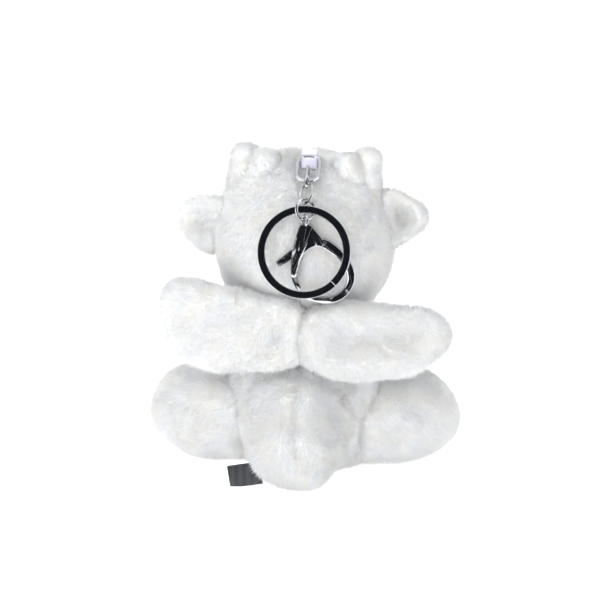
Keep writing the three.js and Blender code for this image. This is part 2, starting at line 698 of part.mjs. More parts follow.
/** Gate: one lever with the closing arm below its pin and the thumb tab beside it. */
function claspGate() {
  const origin = claspOrigin();
  const thickness = CLASP.slot - 2 * GAP;
  const armPlate = plateXZ(stripShape(CLASP_GATE_ARM, CLASP_GATE_ARM_WIDTH), thickness, origin);
  const thumbPlate = plateXZ(stripShape(CLASP_THUMB, CLASP_THUMB_WIDTH), thickness, origin);
  const hub = cylinder(
    new THREE.Vector3(origin[0] + CLASP_PIN.at[0], origin[1] - thickness / 2, origin[2] + CLASP_PIN.at[1]),
    new THREE.Vector3(0, 1, 0),
    CLASP_SPRING.pocket + 0.35,
    thickness,
  );
  const pocket = cylinder(
    new THREE.Vector3(origin[0] + CLASP_PIN.at[0], origin[1] - 0.15, origin[2] + CLASP_PIN.at[1]),
    new THREE.Vector3(0, 1, 0),
    CLASP_SPRING.pocket,
    thickness,
  );
  const pinHole = claspPinSolid(CLASP.pinClearance, CLASP.thickness + 5);
  return hub.add(armPlate).add(thumbPlate).subtract(pocket).subtract(pinHole);
}

/** Coil on the pin that closes the gate. */
function claspSpring() {
  const origin = claspOrigin();
  class Coil extends THREE.Curve {
    getPoint(t, target = new THREE.Vector3()) {
      const angle = t * CLASP_SPRING.turns * 2 * Math.PI;
      return target.set(
        origin[0] + CLASP_PIN.at[0] + CLASP_SPRING.radius * Math.cos(angle),
        origin[1] + 0.08 + t * 0.62,
        origin[2] + CLASP_PIN.at[1] + CLASP_SPRING.radius * Math.sin(angle),
      );
    }
  }
  const wire = new THREE.Shape().absarc(0, 0, CLASP_SPRING.wire, 0, 2 * Math.PI, false);
  return solid(new THREE.ExtrudeGeometry(wire, { steps: 36, extrudePath: new Coil(), curveSegments: 4 }));
}

/** Ribbon, chain, split ring and clasp. */
function hardwarePieces() {
  const { ring, upper, lower, jump } = CHAIN;
  const tabRing = ovalLink(ring, TAB_RING.width, TAB_RING.length, TAB_RING.wire, TAB_RING.power);
  const jumpWidth = 2 * JUMP_RING.radius;
  return [
    piece('tab_ribbon', ribbonTab(), RIBBON),
    piece('tab_ring', tabRing, NICKEL),
    piece('link_upper', ovalLink(upper, LINK_UPPER.width, LINK_UPPER.length, LINK_UPPER.wire), NICKEL),
    piece('link_lower', ovalLink(lower, LINK_LOWER.width, LINK_LOWER.length, LINK_LOWER.wire), NICKEL),
    piece('jump_ring', ovalLink(jump, jumpWidth, jumpWidth, JUMP_RING.wire, 2), NICKEL),
    piece('key_ring', keyRing(), NICKEL),
    piece('clasp_body', claspBody(), NICKEL),
    piece('clasp_gate', claspGate(), NICKEL),
    piece('clasp_pin', claspPinSolid(0, CLASP.thickness), NICKEL),
    piece('clasp_spring', claspSpring(), SPRING_STEEL),
  ];
}

const keychain = new THREE.Group();
keychain.name = 'plush_keychain';
keychain.add(
  ...headPieces(),
  ...facePieces(),
  ...torsoPieces(),
  ...limbPieces(),
  piece('side_label', sideLabel(), WOVEN_BLACK),
  ...hardwarePieces(),
);

export default keychain;
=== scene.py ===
"""Looks of a plush dragon keychain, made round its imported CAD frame.

Every soft piece is a sewn skin, shaped in mesh code, with a short white pile planted on it by
Geometry Nodes. The split ring is wound from its own strip, and the clasp keeps its cast shape,
with rounded edges.
Lengths are in metres, in the frame of the CAD.
"""

import logging
import math
from collections.abc import Sequence
from dataclasses import dataclass, field
from enum import Enum

import bmesh
import bpy
import numpy as np
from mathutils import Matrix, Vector, noise
from mathutils.bvhtree import BVHTree


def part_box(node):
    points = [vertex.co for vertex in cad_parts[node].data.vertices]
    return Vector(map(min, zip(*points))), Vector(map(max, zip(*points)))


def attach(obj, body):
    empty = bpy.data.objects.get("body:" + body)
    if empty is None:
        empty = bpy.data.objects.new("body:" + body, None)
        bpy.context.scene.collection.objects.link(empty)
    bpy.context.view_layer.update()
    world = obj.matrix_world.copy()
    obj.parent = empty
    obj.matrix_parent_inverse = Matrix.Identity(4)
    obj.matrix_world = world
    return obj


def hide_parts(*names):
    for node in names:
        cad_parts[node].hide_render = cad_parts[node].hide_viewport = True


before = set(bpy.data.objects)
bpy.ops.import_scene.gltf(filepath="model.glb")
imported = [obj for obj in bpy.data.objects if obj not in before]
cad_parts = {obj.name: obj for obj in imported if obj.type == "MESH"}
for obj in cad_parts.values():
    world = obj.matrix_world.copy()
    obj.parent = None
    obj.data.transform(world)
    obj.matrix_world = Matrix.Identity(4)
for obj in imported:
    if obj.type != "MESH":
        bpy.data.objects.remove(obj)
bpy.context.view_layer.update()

MM = 0.001
FLOOR_CLEARANCE = 0.15 * MM
MERGE_DISTANCE = 0.002 * MM
TORSO_CENTRE_Z = 24 * MM
TORSO_RADIUS_Z = 31 * MM
TONE_PATCH = 7 * MM  # how large an area of the pile leans to one tone
STRAY = 0.36  # how far a single fibre may point away from its tuft
SHADE_SHARE = 0.72  # how much of a fibre's shading comes from the way it points

Vec = tuple[float, float, float]
log = logging.getLogger("plush_keychain")


class Side(Enum):
    """Which half a piece is on, as the sign of its X."""

    LEFT = -1
    RIGHT = 1

    @property
    def word(self) -> str:
        """The side's name as nodes spell it."""
        return self.name.lower()


class Body(Enum):
    """The moving bodies of the CAD model."""

    PLUSH = "plush"
    EAR_LEFT = "ear_left"
    EAR_RIGHT = "ear_right"
    WING_LEFT = "wing_left"
    WING_RIGHT = "wing_right"
    KEY_RING = "key_ring"
    CLASP = "clasp"
    GATE = "gate"


class Slot(Enum):
    """The record's material slots."""

    PLUSH = "plush_fabric"
    STUFFING = "stuffing"
    NOSE = "nose_thread"
    LABEL = "woven_label"
    RIBBON = "satin_ribbon"
    NICKEL = "nickel"


# ---------------------------------------------------------------- nodes and finishes


def linear(code: str) -> tuple[float, float, float, float]:
    """Turns an sRGB hex colour to linear.

    Args:
        code: The colour, such as "#F2F2F0".

    Returns:
        Red, green, blue and an alpha of 1.
    """
    parts = [int(code[i : i + 2], 16) / 255 for i in (1, 3, 5)]
    low, high = 12.92, 1.055
    red, green, blue = (c / low if c <= 0.04045 else ((c + 0.055) / high) ** 2.4 for c in parts)
    return red, green, blue, 1.0


def socket_of(node: bpy.types.Node, key: int | str) -> bpy.types.NodeSocket:
    """Finds a node's input by its number, or the one in use by its name.

    Args:
        node: The node.
        key: The input's number or name.

    Returns:
        The input.
    """
    if isinstance(key, int):
        return node.inputs[key]
    return next(socket for socket in node.inputs if socket.name == key and socket.enabled)


def add_node(
    tree: bpy.types.NodeTree, kind: str, inputs: dict | None = None, **settings: object
) -> bpy.types.Node:
    """Adds a node with its settings and links.

    Args:
        tree: The node tree.
        kind: The node's type name.
        inputs: A value or an output socket for each input, by name or by number.
        **settings: The node's own properties.

    Returns:
        The new node.
    """
    node = tree.nodes.new(kind)
    for key, value in settings.items():
        setattr(node, key, value)
    for key, value in (inputs or {}).items():
        found = socket_of(node, key)
        if isinstance(value, bpy.types.NodeSocket):
            tree.links.new(value, found)
        else:
            found.default_value = value
    return node


def bands(period: float) -> float:
    """The Wave Texture scale that gives bands of this period in metres."""
    return math.pi / 10 / period


@dataclass
class Surface:
    """The nodes behind one material, in the steps that most finishes share."""

    tree: bpy.types.NodeTree
    shader: bpy.types.Node

    def place(self, **mapping: Vec) -> bpy.types.NodeSocket:
        """Adds the object's own coordinates.

        Args:
            **mapping: A "Scale" or a "Rotation" for them, if any.

        Returns:
            The coordinates.
        """
        own = add_node(self.tree, "ShaderNodeTexCoord").outputs["Object"]
        if not mapping:
            return own
        return add_node(self.tree, "ShaderNodeMapping", {"Vector": own, **mapping}).outputs[0]

    def clouds(
        self, place: bpy.types.NodeSocket, size: float, detail: float, distortion: float = 0.0
    ) -> bpy.types.NodeSocket:
        """Adds a noise.

        Args:
            place: Where it is read.
            size: The size of its patches, in metres.
            detail: How many finer rounds it has.
            distortion: How far it is stirred.

        Returns:
            The noise, about 0 to 1.
        """
        inputs = {"Vector": place, "Scale": 1 / size, "Detail": detail, "Distortion": distortion}
        return add_node(self.tree, "ShaderNodeTexNoise", inputs).outputs["Fac"]

    def threads(self, place: bpy.types.NodeSocket, pitch: float, way: str) -> bpy.types.NodeSocket:
        """Adds a row of parallel threads.

        Args:
            place: Where it is read.
            pitch: The threads' spacing, in metres.
            way: The axis that they follow one another along.

        Returns:
            The threads' height, 0 to 1.
        """
        inputs = {"Vector": place, "Scale": bands(pitch)}
        return add_node(self.tree, "ShaderNodeTexWave", inputs, bands_direction=way).outputs["Fac"]

    def colour(self, share: bpy.types.NodeSocket, first: str, second: str) -> None:
        """Links the colour, mixed from two.

        Args:
            share: How much of the second there is.
            first: One colour.
            second: The other.
        """
        inputs = {0: share, 6: linear(first), 7: linear(second)}
        mix = add_node(self.tree, "ShaderNodeMix", inputs, data_type="RGBA")
        self.tree.links.new(mix.outputs[2], self.shader.inputs["Base Color"])

    def roughness(
        self, share: bpy.types.NodeSocket, low: float, high: float, span: tuple[float, float] = (0.0, 1.0)
    ) -> None:
        """Links the roughness, run between two values.

        Args:
            share: What drives it.
            low: The roughness at the start of the span.
            high: The roughness at its end.
            span: The part of the driver that counts.
        """
        inputs = {"Value": share, "From Min": span[0], "From Max": span[1], "To Min": low, "To Max": high}
        rough = add_node(self.tree, "ShaderNodeMapRange", inputs)
        self.tree.links.new(rough.outputs[0], self.shader.inputs["Roughness"])

    def bump(self, height: bpy.types.NodeSocket, strength: float, distance: float) -> None:
        """Links the bump.

        Args:
            height: Its height.
            strength: How much of it shows.
            distance: How deep it is, in metres.
        """
        inputs = {"Height": height, "Strength": strength, "Distance": distance}
        bump = add_node(self.tree, "ShaderNodeBump", inputs)
        self.tree.links.new(bump.outputs[0], self.shader.inputs["Normal"])

    def set(self, **values: object) -> None:
        """Sets the shader's constant inputs.

        Args:
            **values: The values, by the inputs' names with _ for each space.
        """
        for name, value in values.items():
            self.shader.inputs[name.replace("_", " ")].default_value = value


class Finish:
    """A finish, which makes its material once and hands out the same one after that."""

    name: str

    def wire(self, surface: Surface) -> None:
        """Sets the shader up and links the finish's nodes to it.

        Args:
            surface: The material's nodes.
        """
        raise NotImplementedError

    def material(self) -> bpy.types.Material:
        """Makes the finish's material, the first time it is asked for.

        Returns:
            The material.
        """
        made = bpy.data.materials.get(self.name)
        if made is None:
            made = bpy.data.materials.new(self.name)
            made.use_nodes = True
            self.wire(Surface(made.node_tree, made.node_tree.nodes["Principled BSDF"]))
        return made


@dataclass(frozen=True)
class PileTone(Finish):
    """Polyester pile fibre, dyed in the mass: matt, with a pale sheen where light grazes it.

    Each fibre is one of a few near-white tones, so its colour is constant along it.
    """

    name: str
    colour: str

    def wire(self, surface: Surface) -> None:
        """Sets the constant values of one fibre tone.

        Args:
            surface: The material\'s nodes.
        """
        surface.set(Base_Color=linear(self.colour), Roughness=0.82, Specular_IOR_Level=0.25)
        surface.set(Sheen_Weight=0.25, Sheen_Roughness=0.45)


@dataclass(frozen=True)
class KnittedGround(Finish):
    """Knitted polyester ground cloth: soft blotches, and a fine knit that shows where the pile parts."""

    name: str
    light: str
    shade: str
    blotch: float = 9 * MM
    knit: float = 0.7 * MM  # drawn about twice as coarse as the real knit, to show

    def wire(self, surface: Surface) -> None:
        """Links blotches to the colour and the roughness, and the knit to the bump.

        Args:
            surface: The material\'s nodes.
        """
        place = surface.place()
        blotches = surface.clouds(place, self.blotch, 4.0)
        loops = add_node(surface.tree, "ShaderNodeTexVoronoi", {"Vector": place, "Scale": 1 / self.knit})
        surface.colour(blotches, self.light, self.shade)
        surface.roughness(blotches, 0.75, 0.95)
        surface.bump(loops.outputs["Distance"], 0.4, 0.2 * MM)
        surface.set(Sheen_Weight=0.3, Sheen_Roughness=0.4)


@dataclass(frozen=True)
class PolishedNickel(Finish):
    """Nickel plate over zinc or steel: a dark clear mirror with faint rubbing marks from keys."""

    name: str
    colour: str = "#C9CACC"
    tarnish: str = "#AEB0B4"
    rough_low: float = 0.05
    rough_high: float = 0.16

    def wire(self, surface: Surface) -> None:
        """Links rubbing marks to the roughness and a very shallow bump, and tarnish to the colour.

        Args:
            surface: The material\'s nodes.
        """
        rub = surface.clouds(surface.place(Scale=(1.0, 1.0, 6.0)), 1.5 * MM, 6.0)
        surface.colour(surface.clouds(surface.place(), 4 * MM, 2.0), self.colour, self.tarnish)
        surface.roughness(rub, self.rough_low, self.rough_high, (0.35, 0.7))
        surface.bump(rub, 0.08, 0.02 * MM)
        surface.set(Metallic=1.0)


@dataclass(frozen=True)
class MouldedPlastic(Finish):
    """Injection-moulded plastic: even colour, faint flow marks, glossy or satin by its roughness."""

    name: str
    colour: str
    flow: str
    roughness: float
    coat: float = 0.0

    def wire(self, surface: Surface) -> None:
        """Links flow marks to the colour, the roughness and a shallow bump.

        Args:
            surface: The material\'s nodes.
        """
        marks = surface.clouds(surface.place(), 2.5 * MM, 3.0, 1.2)
        surface.colour(marks, self.colour, self.flow)
        surface.roughness(marks, self.roughness * 0.7, self.roughness * 1.4)
        surface.bump(marks, 0.1, 0.03 * MM)
        surface.set(Coat_Weight=self.coat)


@dataclass(frozen=True)
class WovenTape(Finish):
    """Narrow woven polyester tape: thread ridges one way, with crossing threads in the other tone."""

    name: str
    warp: str
    weft: str
    turn: Vec
    warp_pitch: float
    weft_pitch: float
    roughness: float
    sheen: float

    def wire(self, surface: Surface) -> None:
        """Links two crossed thread waves to the colour, the roughness and the bump.

        Args:
            surface: The material\'s nodes.
        """
        laid = surface.place(Rotation=self.turn)
        warp = surface.threads(laid, self.warp_pitch, "X")
        weft = surface.threads(laid, self.weft_pitch, "Y")
        ridges = add_node(surface.tree, "ShaderNodeMath", {0: warp, 1: weft}, operation="MULTIPLY").outputs[0]
        surface.colour(ridges, self.warp, self.weft)
        surface.roughness(warp, self.roughness * 0.85, self.roughness * 1.2)
        surface.bump(ridges, 0.5, 0.06 * MM)
        surface.set(Sheen_Weight=self.sheen)


@dataclass(frozen=True)
class LooseFibre(Finish):
    """Hollow polyester stuffing fibre: white, matt and tangled."""

    name: str
    light: str
    shade: str

    def wire(self, surface: Surface) -> None:
        """Links a tangle of strands to the colour, the roughness and the bump.

        Args:
            surface: The material\'s nodes.
        """
        tangle = surface.clouds(surface.place(), 1.2 * MM, 8.0, 2.5)
        surface.colour(tangle, self.light, self.shade)
        surface.roughness(tangle, 0.85, 1.0)
        surface.bump(tangle, 0.7, 0.6 * MM)


@dataclass(frozen=True)
class PaleFloor(Finish):
    """Plain white studio board, lit from below as well, so that shadows on it stay faint."""

    name: str
    colour: str = "#FFFFFF"
    glow: float = 0.62

    def wire(self, surface: Surface) -> None:
        """Sets the board's constant values.

        Args:
            surface: The material\'s nodes.
        """
        tone = linear(self.colour)
        surface.set(Base_Color=tone, Roughness=0.9, Specular_IOR_Level=0.1)
        surface.set(Emission_Color=tone, Emission_Strength=self.glow)


@dataclass(frozen=True)
class FlagCloth(Finish):
    """Charcoal flocked studio cloth, which reflects very little."""

    name: str
    colour: str = "#17191D"

    def wire(self, surface: Surface) -> None:
        """Sets the cloth's constant values.

        Args:
            surface: The material\'s nodes.
        """
        surface.set(Base_Color=linear(self.colour), Roughness=1.0, Specular_IOR_Level=0.0)


GROUND_CLOTH = KnittedGround("knitted_polyester_ground", light="#F4F4F1", shade="#E3E2DC")
BASE_CLOTH = KnittedGround("brushed_polyester_base", light="#F1F1EE", shade="#DCDBD5", blotch=5 * MM)
PILE_TONES = (
    PileTone("pile_fibre_white", "#FAFAF9"),
    PileTone("pile_fibre_cool", "#EDF0F3"),
    PileTone("pile_fibre_warm", "#F3F2ED"),
)
STUFFING = LooseFibre("hollow_polyester_fibre", light="#F5F5F2", shade="#DDDCD7")
NICKEL = PolishedNickel("polished_nickel_plate")
SPRING_STEEL = PolishedNickel("drawn_spring_steel", colour="#8E9094", rough_low=0.2, rough_high=0.38)
EYE_PLASTIC = MouldedPlastic("glossy_black_acrylic", "#050506", "#0B0B0D", roughness=0.06, coat=0.6)
WASHER_PLASTIC = MouldedPlastic("moulded_polyethylene", "#E4E5E3", "#D6D8D6", roughness=0.45)
NOSE_THREAD = WovenTape(
    "satin_stitched_thread",
    warp="#6E5F5B",
    weft="#4A3E3C",
    turn=(0.0, 0.0, 0.0),
    warp_pitch=0.4 * MM,
    weft_pitch=3.2 * MM,
    roughness=0.38,
    sheen=0.4,
)
LABEL_TAPE = WovenTape(
    "black_woven_label",
    warp="#1B1D21",
    weft="#3A3F45",
    turn=(0.0, 0.0, math.radians(4)),
    warp_pitch=0.42 * MM,
    weft_pitch=0.36 * MM,
    roughness=0.6,
    sheen=0.3,
)
RIBBON_TAPE = WovenTape(
    "white_satin_ribbon",
    warp="#CFCCDD",
    weft="#BAB6CC",
    turn=(0.0, 0.0, 0.0),
    warp_pitch=0.36 * MM,
    weft_pitch=1.1 * MM,
    roughness=0.32,
    sheen=0.5,
)
FLOOR_BOARD = PaleFloor("white_studio_board")
FLAG_CLOTH = FlagCloth("charcoal_flocked_cloth")


# ---------------------------------------------------------------- mesh helpers


def add_object(name: str, mesh: bpy.types.Mesh) -> bpy.types.Object:
    """Adds an object at the origin, with its place in its mesh.

    Args:
        name: The object's name.
        mesh: Its mesh.

    Returns:
        The new object.
    """
    made = bpy.data.objects.new(name, mesh)
    bpy.context.scene.collection.objects.link(made)
    return made


def settle(obj: bpy.types.Object) -> bpy.types.Object:
    """Applies an object's modifiers, and leaves it a plain smooth-shaded mesh.

    Args:
        obj: The object.

    Returns:
        The same object.
    """
    graph = bpy.context.evaluated_depsgraph_get()
    mesh = bpy.data.meshes.new_from_object(obj.evaluated_get(graph), depsgraph=graph)
    mesh.name = obj.name
    obj.modifiers.clear()
    obj.data = mesh
    mesh.shade_smooth()
    return obj


def node_copy(node: str, name: str) -> bpy.types.Object:
    """Copies a CAD node's shape into a new object with its doubled points merged.

    Args:
        node: The CAD node.
        name: The new object's name.

    Returns:
        The new object.
    """
    shape = bmesh.new()
    shape.from_mesh(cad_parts[node].data)
    bmesh.ops.remove_doubles(shape, verts=shape.verts, dist=MERGE_DISTANCE)
    mesh = bpy.data.meshes.new(name)
    shape.to_mesh(mesh)
    shape.free()
    mesh.materials.clear()
    return add_object(name, mesh)


def places(obj: bpy.types.Object) -> np.ndarray:
    """Reads an object's points.

    Args:
        obj: The object.

    Returns:
        The points, one row each.
    """
    found = np.empty(len(obj.data.vertices) * 3, np.float32)
    obj.data.vertices.foreach_get("co", found)
    return found.reshape(-1, 3)


def facings(obj: bpy.types.Object) -> np.ndarray:
    """Reads the normal at each of an object's points.

    Args:
        obj: The object.

    Returns:
        The normals, one row each.
    """
    found = np.empty(len(obj.data.vertices) * 3, np.float32)
    obj.data.vertex_normals.foreach_get("vector", found)
    return found.reshape(-1, 3)


def put(obj: bpy.types.Object, moved: np.ndarray) -> None:
    """Writes an object's points back.

    Args:
        obj: The object.
        moved: Its points, one row each.
    """
    obj.data.vertices.foreach_set("co", moved.astype(np.float32).ravel())
    obj.data.update()


@dataclass(frozen=True)
class Dent:
    """A soft hollow, or a swelling where its depth is negative."""

    centre: Vec
    reach: Vec
    depth: float

    def drop(self, at: np.ndarray) -> np.ndarray:
        """How far each point sinks, by how near the middle it lies.

        Args:
            at: The points.

        Returns:
            A depth for each.
        """
        away = (at - np.array(self.centre)) / np.array(self.reach)
        return self.depth * np.exp(-((away**2).sum(1)))


@dataclass(frozen=True)
class Seam:
    """A sewn line that pulls the skin in, along a path of points."""

    path: tuple[Vec, ...]
    width: float
    depth: float

    def drop(self, at: np.ndarray) -> np.ndarray:
        """How far each point sinks, by how near the seam it lies.

        Args:
            at: The points.

        Returns:
            A depth for each.
        """
        nearest = np.full(len(at), np.inf)
        for a, b in zip(np.array(self.path[:-1]), np.array(self.path[1:]), strict=True):
            along = np.clip((at - a) @ (b - a) / ((b - a) @ (b - a)), 0, 1)
            nearest = np.minimum(nearest, np.linalg.norm(at - a - along[:, None] * (b - a), axis=1))
        return self.depth * np.exp(-((nearest / self.width) ** 2))


@dataclass(frozen=True)
class Lumps:
    """Uneven stuffing: slow swellings of a given size and height."""

    size: float
    height: float
    seed: float

    def drop(self, at: np.ndarray) -> np.ndarray:
        """How far each point sinks or, below zero, rises.

        Args:
            at: The points.

        Returns:
            A depth for each.
        """
        shift = Vector((self.seed, 2 * self.seed, 3 * self.seed))
        return np.array([self.height * noise.noise(Vector(p) / self.size + shift) for p in at.astype(float)])


Mark = Dent | Seam | Lumps


def sculpt(obj: bpy.types.Object, marks: Sequence[Mark]) -> None:
    """Sinks an object's points along their normals by the sum of its marks.

    Args:
        obj: The object, whose mesh is changed.
        marks: Its dents, seams and lumps.
    """
    at, facing = places(obj), facings(obj)
    drop = sum((mark.drop(at) for mark in marks), np.zeros(len(at)))
    put(obj, at - facing * drop[:, None])


def soft_copy(node: str, name: str, voxel: float, sink: float, rounds: int) -> bpy.types.Object:
    """Takes a CAD solid's shape as an even skin, a pile's depth below its surface.

    Args:
        node: The CAD node.
        name: The new object's name.
        voxel: The skin's mesh size.
        sink: How far below the solid's surface it lies.
        rounds: How many times it is smoothed.

    Returns:
        The skin.
    """
    made = node_copy(node, name)
    even = made.modifiers.new("even", "REMESH")
    even.mode, even.voxel_size = "VOXEL", voxel
    relax = made.modifiers.new("relax", "SMOOTH")
    relax.factor, relax.iterations = 0.5, rounds
    settle(made)
    put(made, places(made) - facings(made) * sink)
    return made


@dataclass(frozen=True)
class Plane:
    """A cutting plane: what lies on the side that it faces is cut off."""

    point: Vec
    facing: Vec


def oval_panel(name: str, centre: Vec, radii: Vec, cuts: Sequence[Plane]) -> bpy.types.Object:
    """Makes an open panel of an ellipsoid.

    Args:
        name: The panel's name.
        centre: The ellipsoid's centre.
        radii: Its three radii.
        cuts: The planes that trim it.

    Returns:
        The panel, one face thick.
    """
    shape = bmesh.new()
    bmesh.ops.create_icosphere(shape, subdivisions=5, radius=1)
    for point in shape.verts:
        point.co = Vector(c + r * v for c, r, v in zip(centre, radii, point.co, strict=True))
    for cut in cuts:
        bmesh.ops.bisect_plane(
            shape,
            geom=[*shape.verts, *shape.edges, *shape.faces],
            plane_co=cut.point,
            plane_no=cut.facing,
            clear_outer=True,
        )
    mesh = bpy.data.meshes.new(name)
    shape.to_mesh(mesh)
    shape.free()
    mesh.shade_smooth()
    return add_object(name, mesh)


def lined(ground: bpy.types.Object, name: str, thickness: float) -> bpy.types.Object:
    """Gives an open panel its thickness.

    Args:
        ground: The open panel, which is left as it is.
        name: The new piece's name.
        thickness: The cloth's thickness, taken inwards.

    Returns:
        The closed piece.
    """
    made = add_object(name, ground.data.copy())
    wall = made.modifiers.new("wall", "SOLIDIFY")
    wall.thickness, wall.offset = thickness, -1.0
    return settle(made)


# ---------------------------------------------------------------- the pile


@dataclass(frozen=True)
class Pile:
    """How the pile of one piece grows."""

    length: float = 2.3 * MM
    width: float = 0.12 * MM  # a spike's half width, several times a real fibre's, so that it shows
    density: float = 12.0e6  # spikes to a square metre
    lean: float = 0.55
    swirl: float = 0.9
    tuft: float = 3.6 * MM
    comb: Vec = (0.0, 0.0, -1.0)


class PilePlanter:
    """The Geometry Nodes group that plants, combs and tones a pile, and turns it into a plain mesh."""

    def __init__(self, tones: Sequence[PileTone]) -> None:
        """Builds the group once, for every piece.

        Args:
            tones: The fibre tones, the commonest first.
        """
        self.tree = bpy.data.node_groups.new("plant_pile", "GeometryNodeTree")
        self.sockets: dict[str, str] = {}
        self._socket("Geometry", "NodeSocketGeometry")
        for name in ("Density", "Length", "Width", "Lean", "Swirl", "Tuft Size"):
            self._socket(name, "NodeSocketFloat")
        self._socket("Comb", "NodeSocketVector")
        self._socket("Seed", "NodeSocketInt")
        self.tree.interface.new_socket("Geometry", in_out="OUTPUT", socket_type="NodeSocketGeometry")
        self._wire(tones)

    def _socket(self, name: str, kind: str) -> None:
        """Adds one named input to the group.

        Args:
            name: The input's name.
            kind: Its socket type.
        """
        made = self.tree.interface.new_socket(name, in_out="INPUT", socket_type=kind)
        self.sockets[name] = made.identifier

    def _add(
        self, kind: str, inputs: dict | None = None, out: int | str = 0, **settings: object
    ) -> bpy.types.NodeSocket:
        """Adds a node.

        Args:
            kind: The node's type name.
            inputs: A value or an output socket for each input.
            out: Which output is wanted.
            **settings: The node's own properties.

        Returns:
            That output.
        """
        return add_node(self.tree, kind, inputs, **settings).outputs[out]

    def _maths(self, operation: str, *values: object) -> bpy.types.NodeSocket:
        """Adds a Math node and returns its result."""
        return self._add("ShaderNodeMath", dict(enumerate(values)), operation=operation)

    def _vector(
        self, operation: str, *values: object, out: str = "Vector", **named: object
    ) -> bpy.types.NodeSocket:
        """Adds a Vector Math node.

        Args:
            operation: What it does.
            *values: Its inputs, in order.
            out: Which output is wanted.
            **named: Inputs that go by name.

        Returns:
            The result.
        """
        inputs = {**dict(enumerate(values)), **named}
        return self._add("ShaderNodeVectorMath", inputs, out, operation=operation)

    def _random(self, low: float, high: float, seed: int) -> bpy.types.NodeSocket:
        """Adds a random number for each point.

        Args:
            low: The least it can be.
            high: The most.
            seed: Its seed.

        Returns:
            The number.
        """
        inputs = {"Min": low, "Max": high, "Seed": seed}
        return self._add("FunctionNodeRandomValue", inputs, 1, data_type="FLOAT")

    def _keep(
        self, geometry: bpy.types.NodeSocket, name: str, value: bpy.types.NodeSocket, kind: str
    ) -> bpy.types.NodeSocket:
        """Stores a value on each point, to be read after the spikes are made.

        Args:
            geometry: The points.
            name: The value's name.
            value: The value.
            kind: Its data type.

        Returns:
            The points with it.
        """
        inputs = {"Geometry": geometry, "Name": name, "Value": value}
        return self._add("GeometryNodeStoreNamedAttribute", inputs, data_type=kind, domain="POINT")

    def _read(self, name: str) -> bpy.types.NodeSocket:
        """Reads a number that was stored on each point."""
        return self._add("GeometryNodeInputNamedAttribute", {"Name": name}, data_type="FLOAT")

    def _directions(self, group: bpy.types.Node, facing: bpy.types.NodeSocket) -> bpy.types.NodeSocket:
        """The way each fibre points: out of the cloth, combed over, with tufts that swirl.

        Args:
            group: The group's input node.
            facing: The cloth's normal at each point.

        Returns:
            A unit vector for each point.
        """
        place = self._add("GeometryNodeInputPosition")
        scaled = self._vector("SCALE", place, Scale=self._maths("DIVIDE", 1.0, group.outputs["Tuft Size"]))
        broad = self._add("ShaderNodeTexNoise", {"Vector": scaled, "Scale": 0.45, "Detail": 1.0}, "Color")
        small = self._add("ShaderNodeTexNoise", {"Vector": scaled, "Scale": 1.7, "Detail": 2.0}, "Color")
        both = self._vector("SUBTRACT", self._vector("ADD", broad, small), (1.0, 1.0, 1.0))
        swirl = self._vector("SCALE", both, Scale=self._maths("MULTIPLY", group.outputs["Swirl"], 2.6))
        flow = self._vector("ADD", group.outputs["Comb"], swirl)
        against = self._vector("DOT_PRODUCT", flow, facing, out="Value")
        along = self._vector("SUBTRACT", flow, self._vector("SCALE", facing, Scale=against))
        leaning = self._vector("SCALE", along, Scale=group.outputs["Lean"])
        bounds = {"Min": (-STRAY,) * 3, "Max": (STRAY,) * 3, "Seed": 7}
        stray = self._add("FunctionNodeRandomValue", bounds, data_type="FLOAT_VECTOR")
        return self._vector("NORMALIZE", self._vector("ADD", self._vector("ADD", facing, leaning), stray))

    def _wire(self, tones: Sequence[PileTone]) -> None:
        """Links the whole group.

        Args:
            tones: The fibre tones, the commonest first.
        """
        group = self.tree.nodes.new("NodeGroupInput")
        grown = self._read("grown")
        spread = add_node(
            self.tree,
            "GeometryNodeDistributePointsOnFaces",
            {
                "Mesh": group.outputs["Geometry"],
                "Density": self._maths("MULTIPLY", group.outputs["Density"], grown),
                "Seed": group.outputs["Seed"],
            },
            distribute_method="RANDOM",
        )
        facing = spread.outputs["Normal"]
        pointing = self._directions(group, facing)
        leant = self._vector("SCALE", pointing, Scale=SHADE_SHARE)
        shade = self._vector("NORMALIZE", self._vector("ADD", facing, leant))
        place = self._add("GeometryNodeInputPosition")
        inputs = {"Vector": place, "Scale": 1 / TONE_PATCH, "Detail": 2.0}
        patches = self._add("ShaderNodeTexNoise", inputs, "Fac")
        tone = self._maths("ADD", patches, self._random(-0.22, 0.22, 3))
        held = self._keep(spread.outputs["Points"], "shade", shade, "FLOAT_VECTOR")
        toned = self._keep(held, "tone", tone, "FLOAT")
        upright = self._add("FunctionNodeAlignRotationToVector", {"Vector": pointing}, axis="Z")
        longer = self._maths("POWER", self._random(0.0, 1.0, 11), 5.0)
        growth = self._maths("MULTIPLY_ADD", longer, 0.55, self._random(0.6, 1.05, 5))
        reach = self._maths("MULTIPLY", self._maths("MULTIPLY", group.outputs["Length"], growth), grown)
        width = group.outputs["Width"]
        size = self._add("ShaderNodeCombineXYZ", {0: width, 1: width, 2: reach})
        cone = {"Vertices": 3, "Side Segments": 1, "Radius Top": 0.0, "Radius Bottom": 1.0, "Depth": 1.0}
        spike = self._add("GeometryNodeMeshCone", cone, "Mesh", fill_type="NONE")
        planted = self._add(
            "GeometryNodeInstanceOnPoints",
            {"Points": toned, "Instance": spike, "Rotation": upright, "Scale": size},
        )
        last = self._add("GeometryNodeRealizeInstances", {"Geometry": planted})
        first = {"Geometry": last, "Material": tones[0].material()}
        last = self._add("GeometryNodeSetMaterial", first)
        read = self._read("tone")
        for other, operation, limit in ((tones[1], "LESS_THAN", 0.42), (tones[2], "GREATER_THAN", 0.6)):
            chosen = self._maths(operation, read, limit)
            inputs = {"Geometry": last, "Selection": chosen, "Material": other.material()}
            last = self._add("GeometryNodeSetMaterial", inputs)
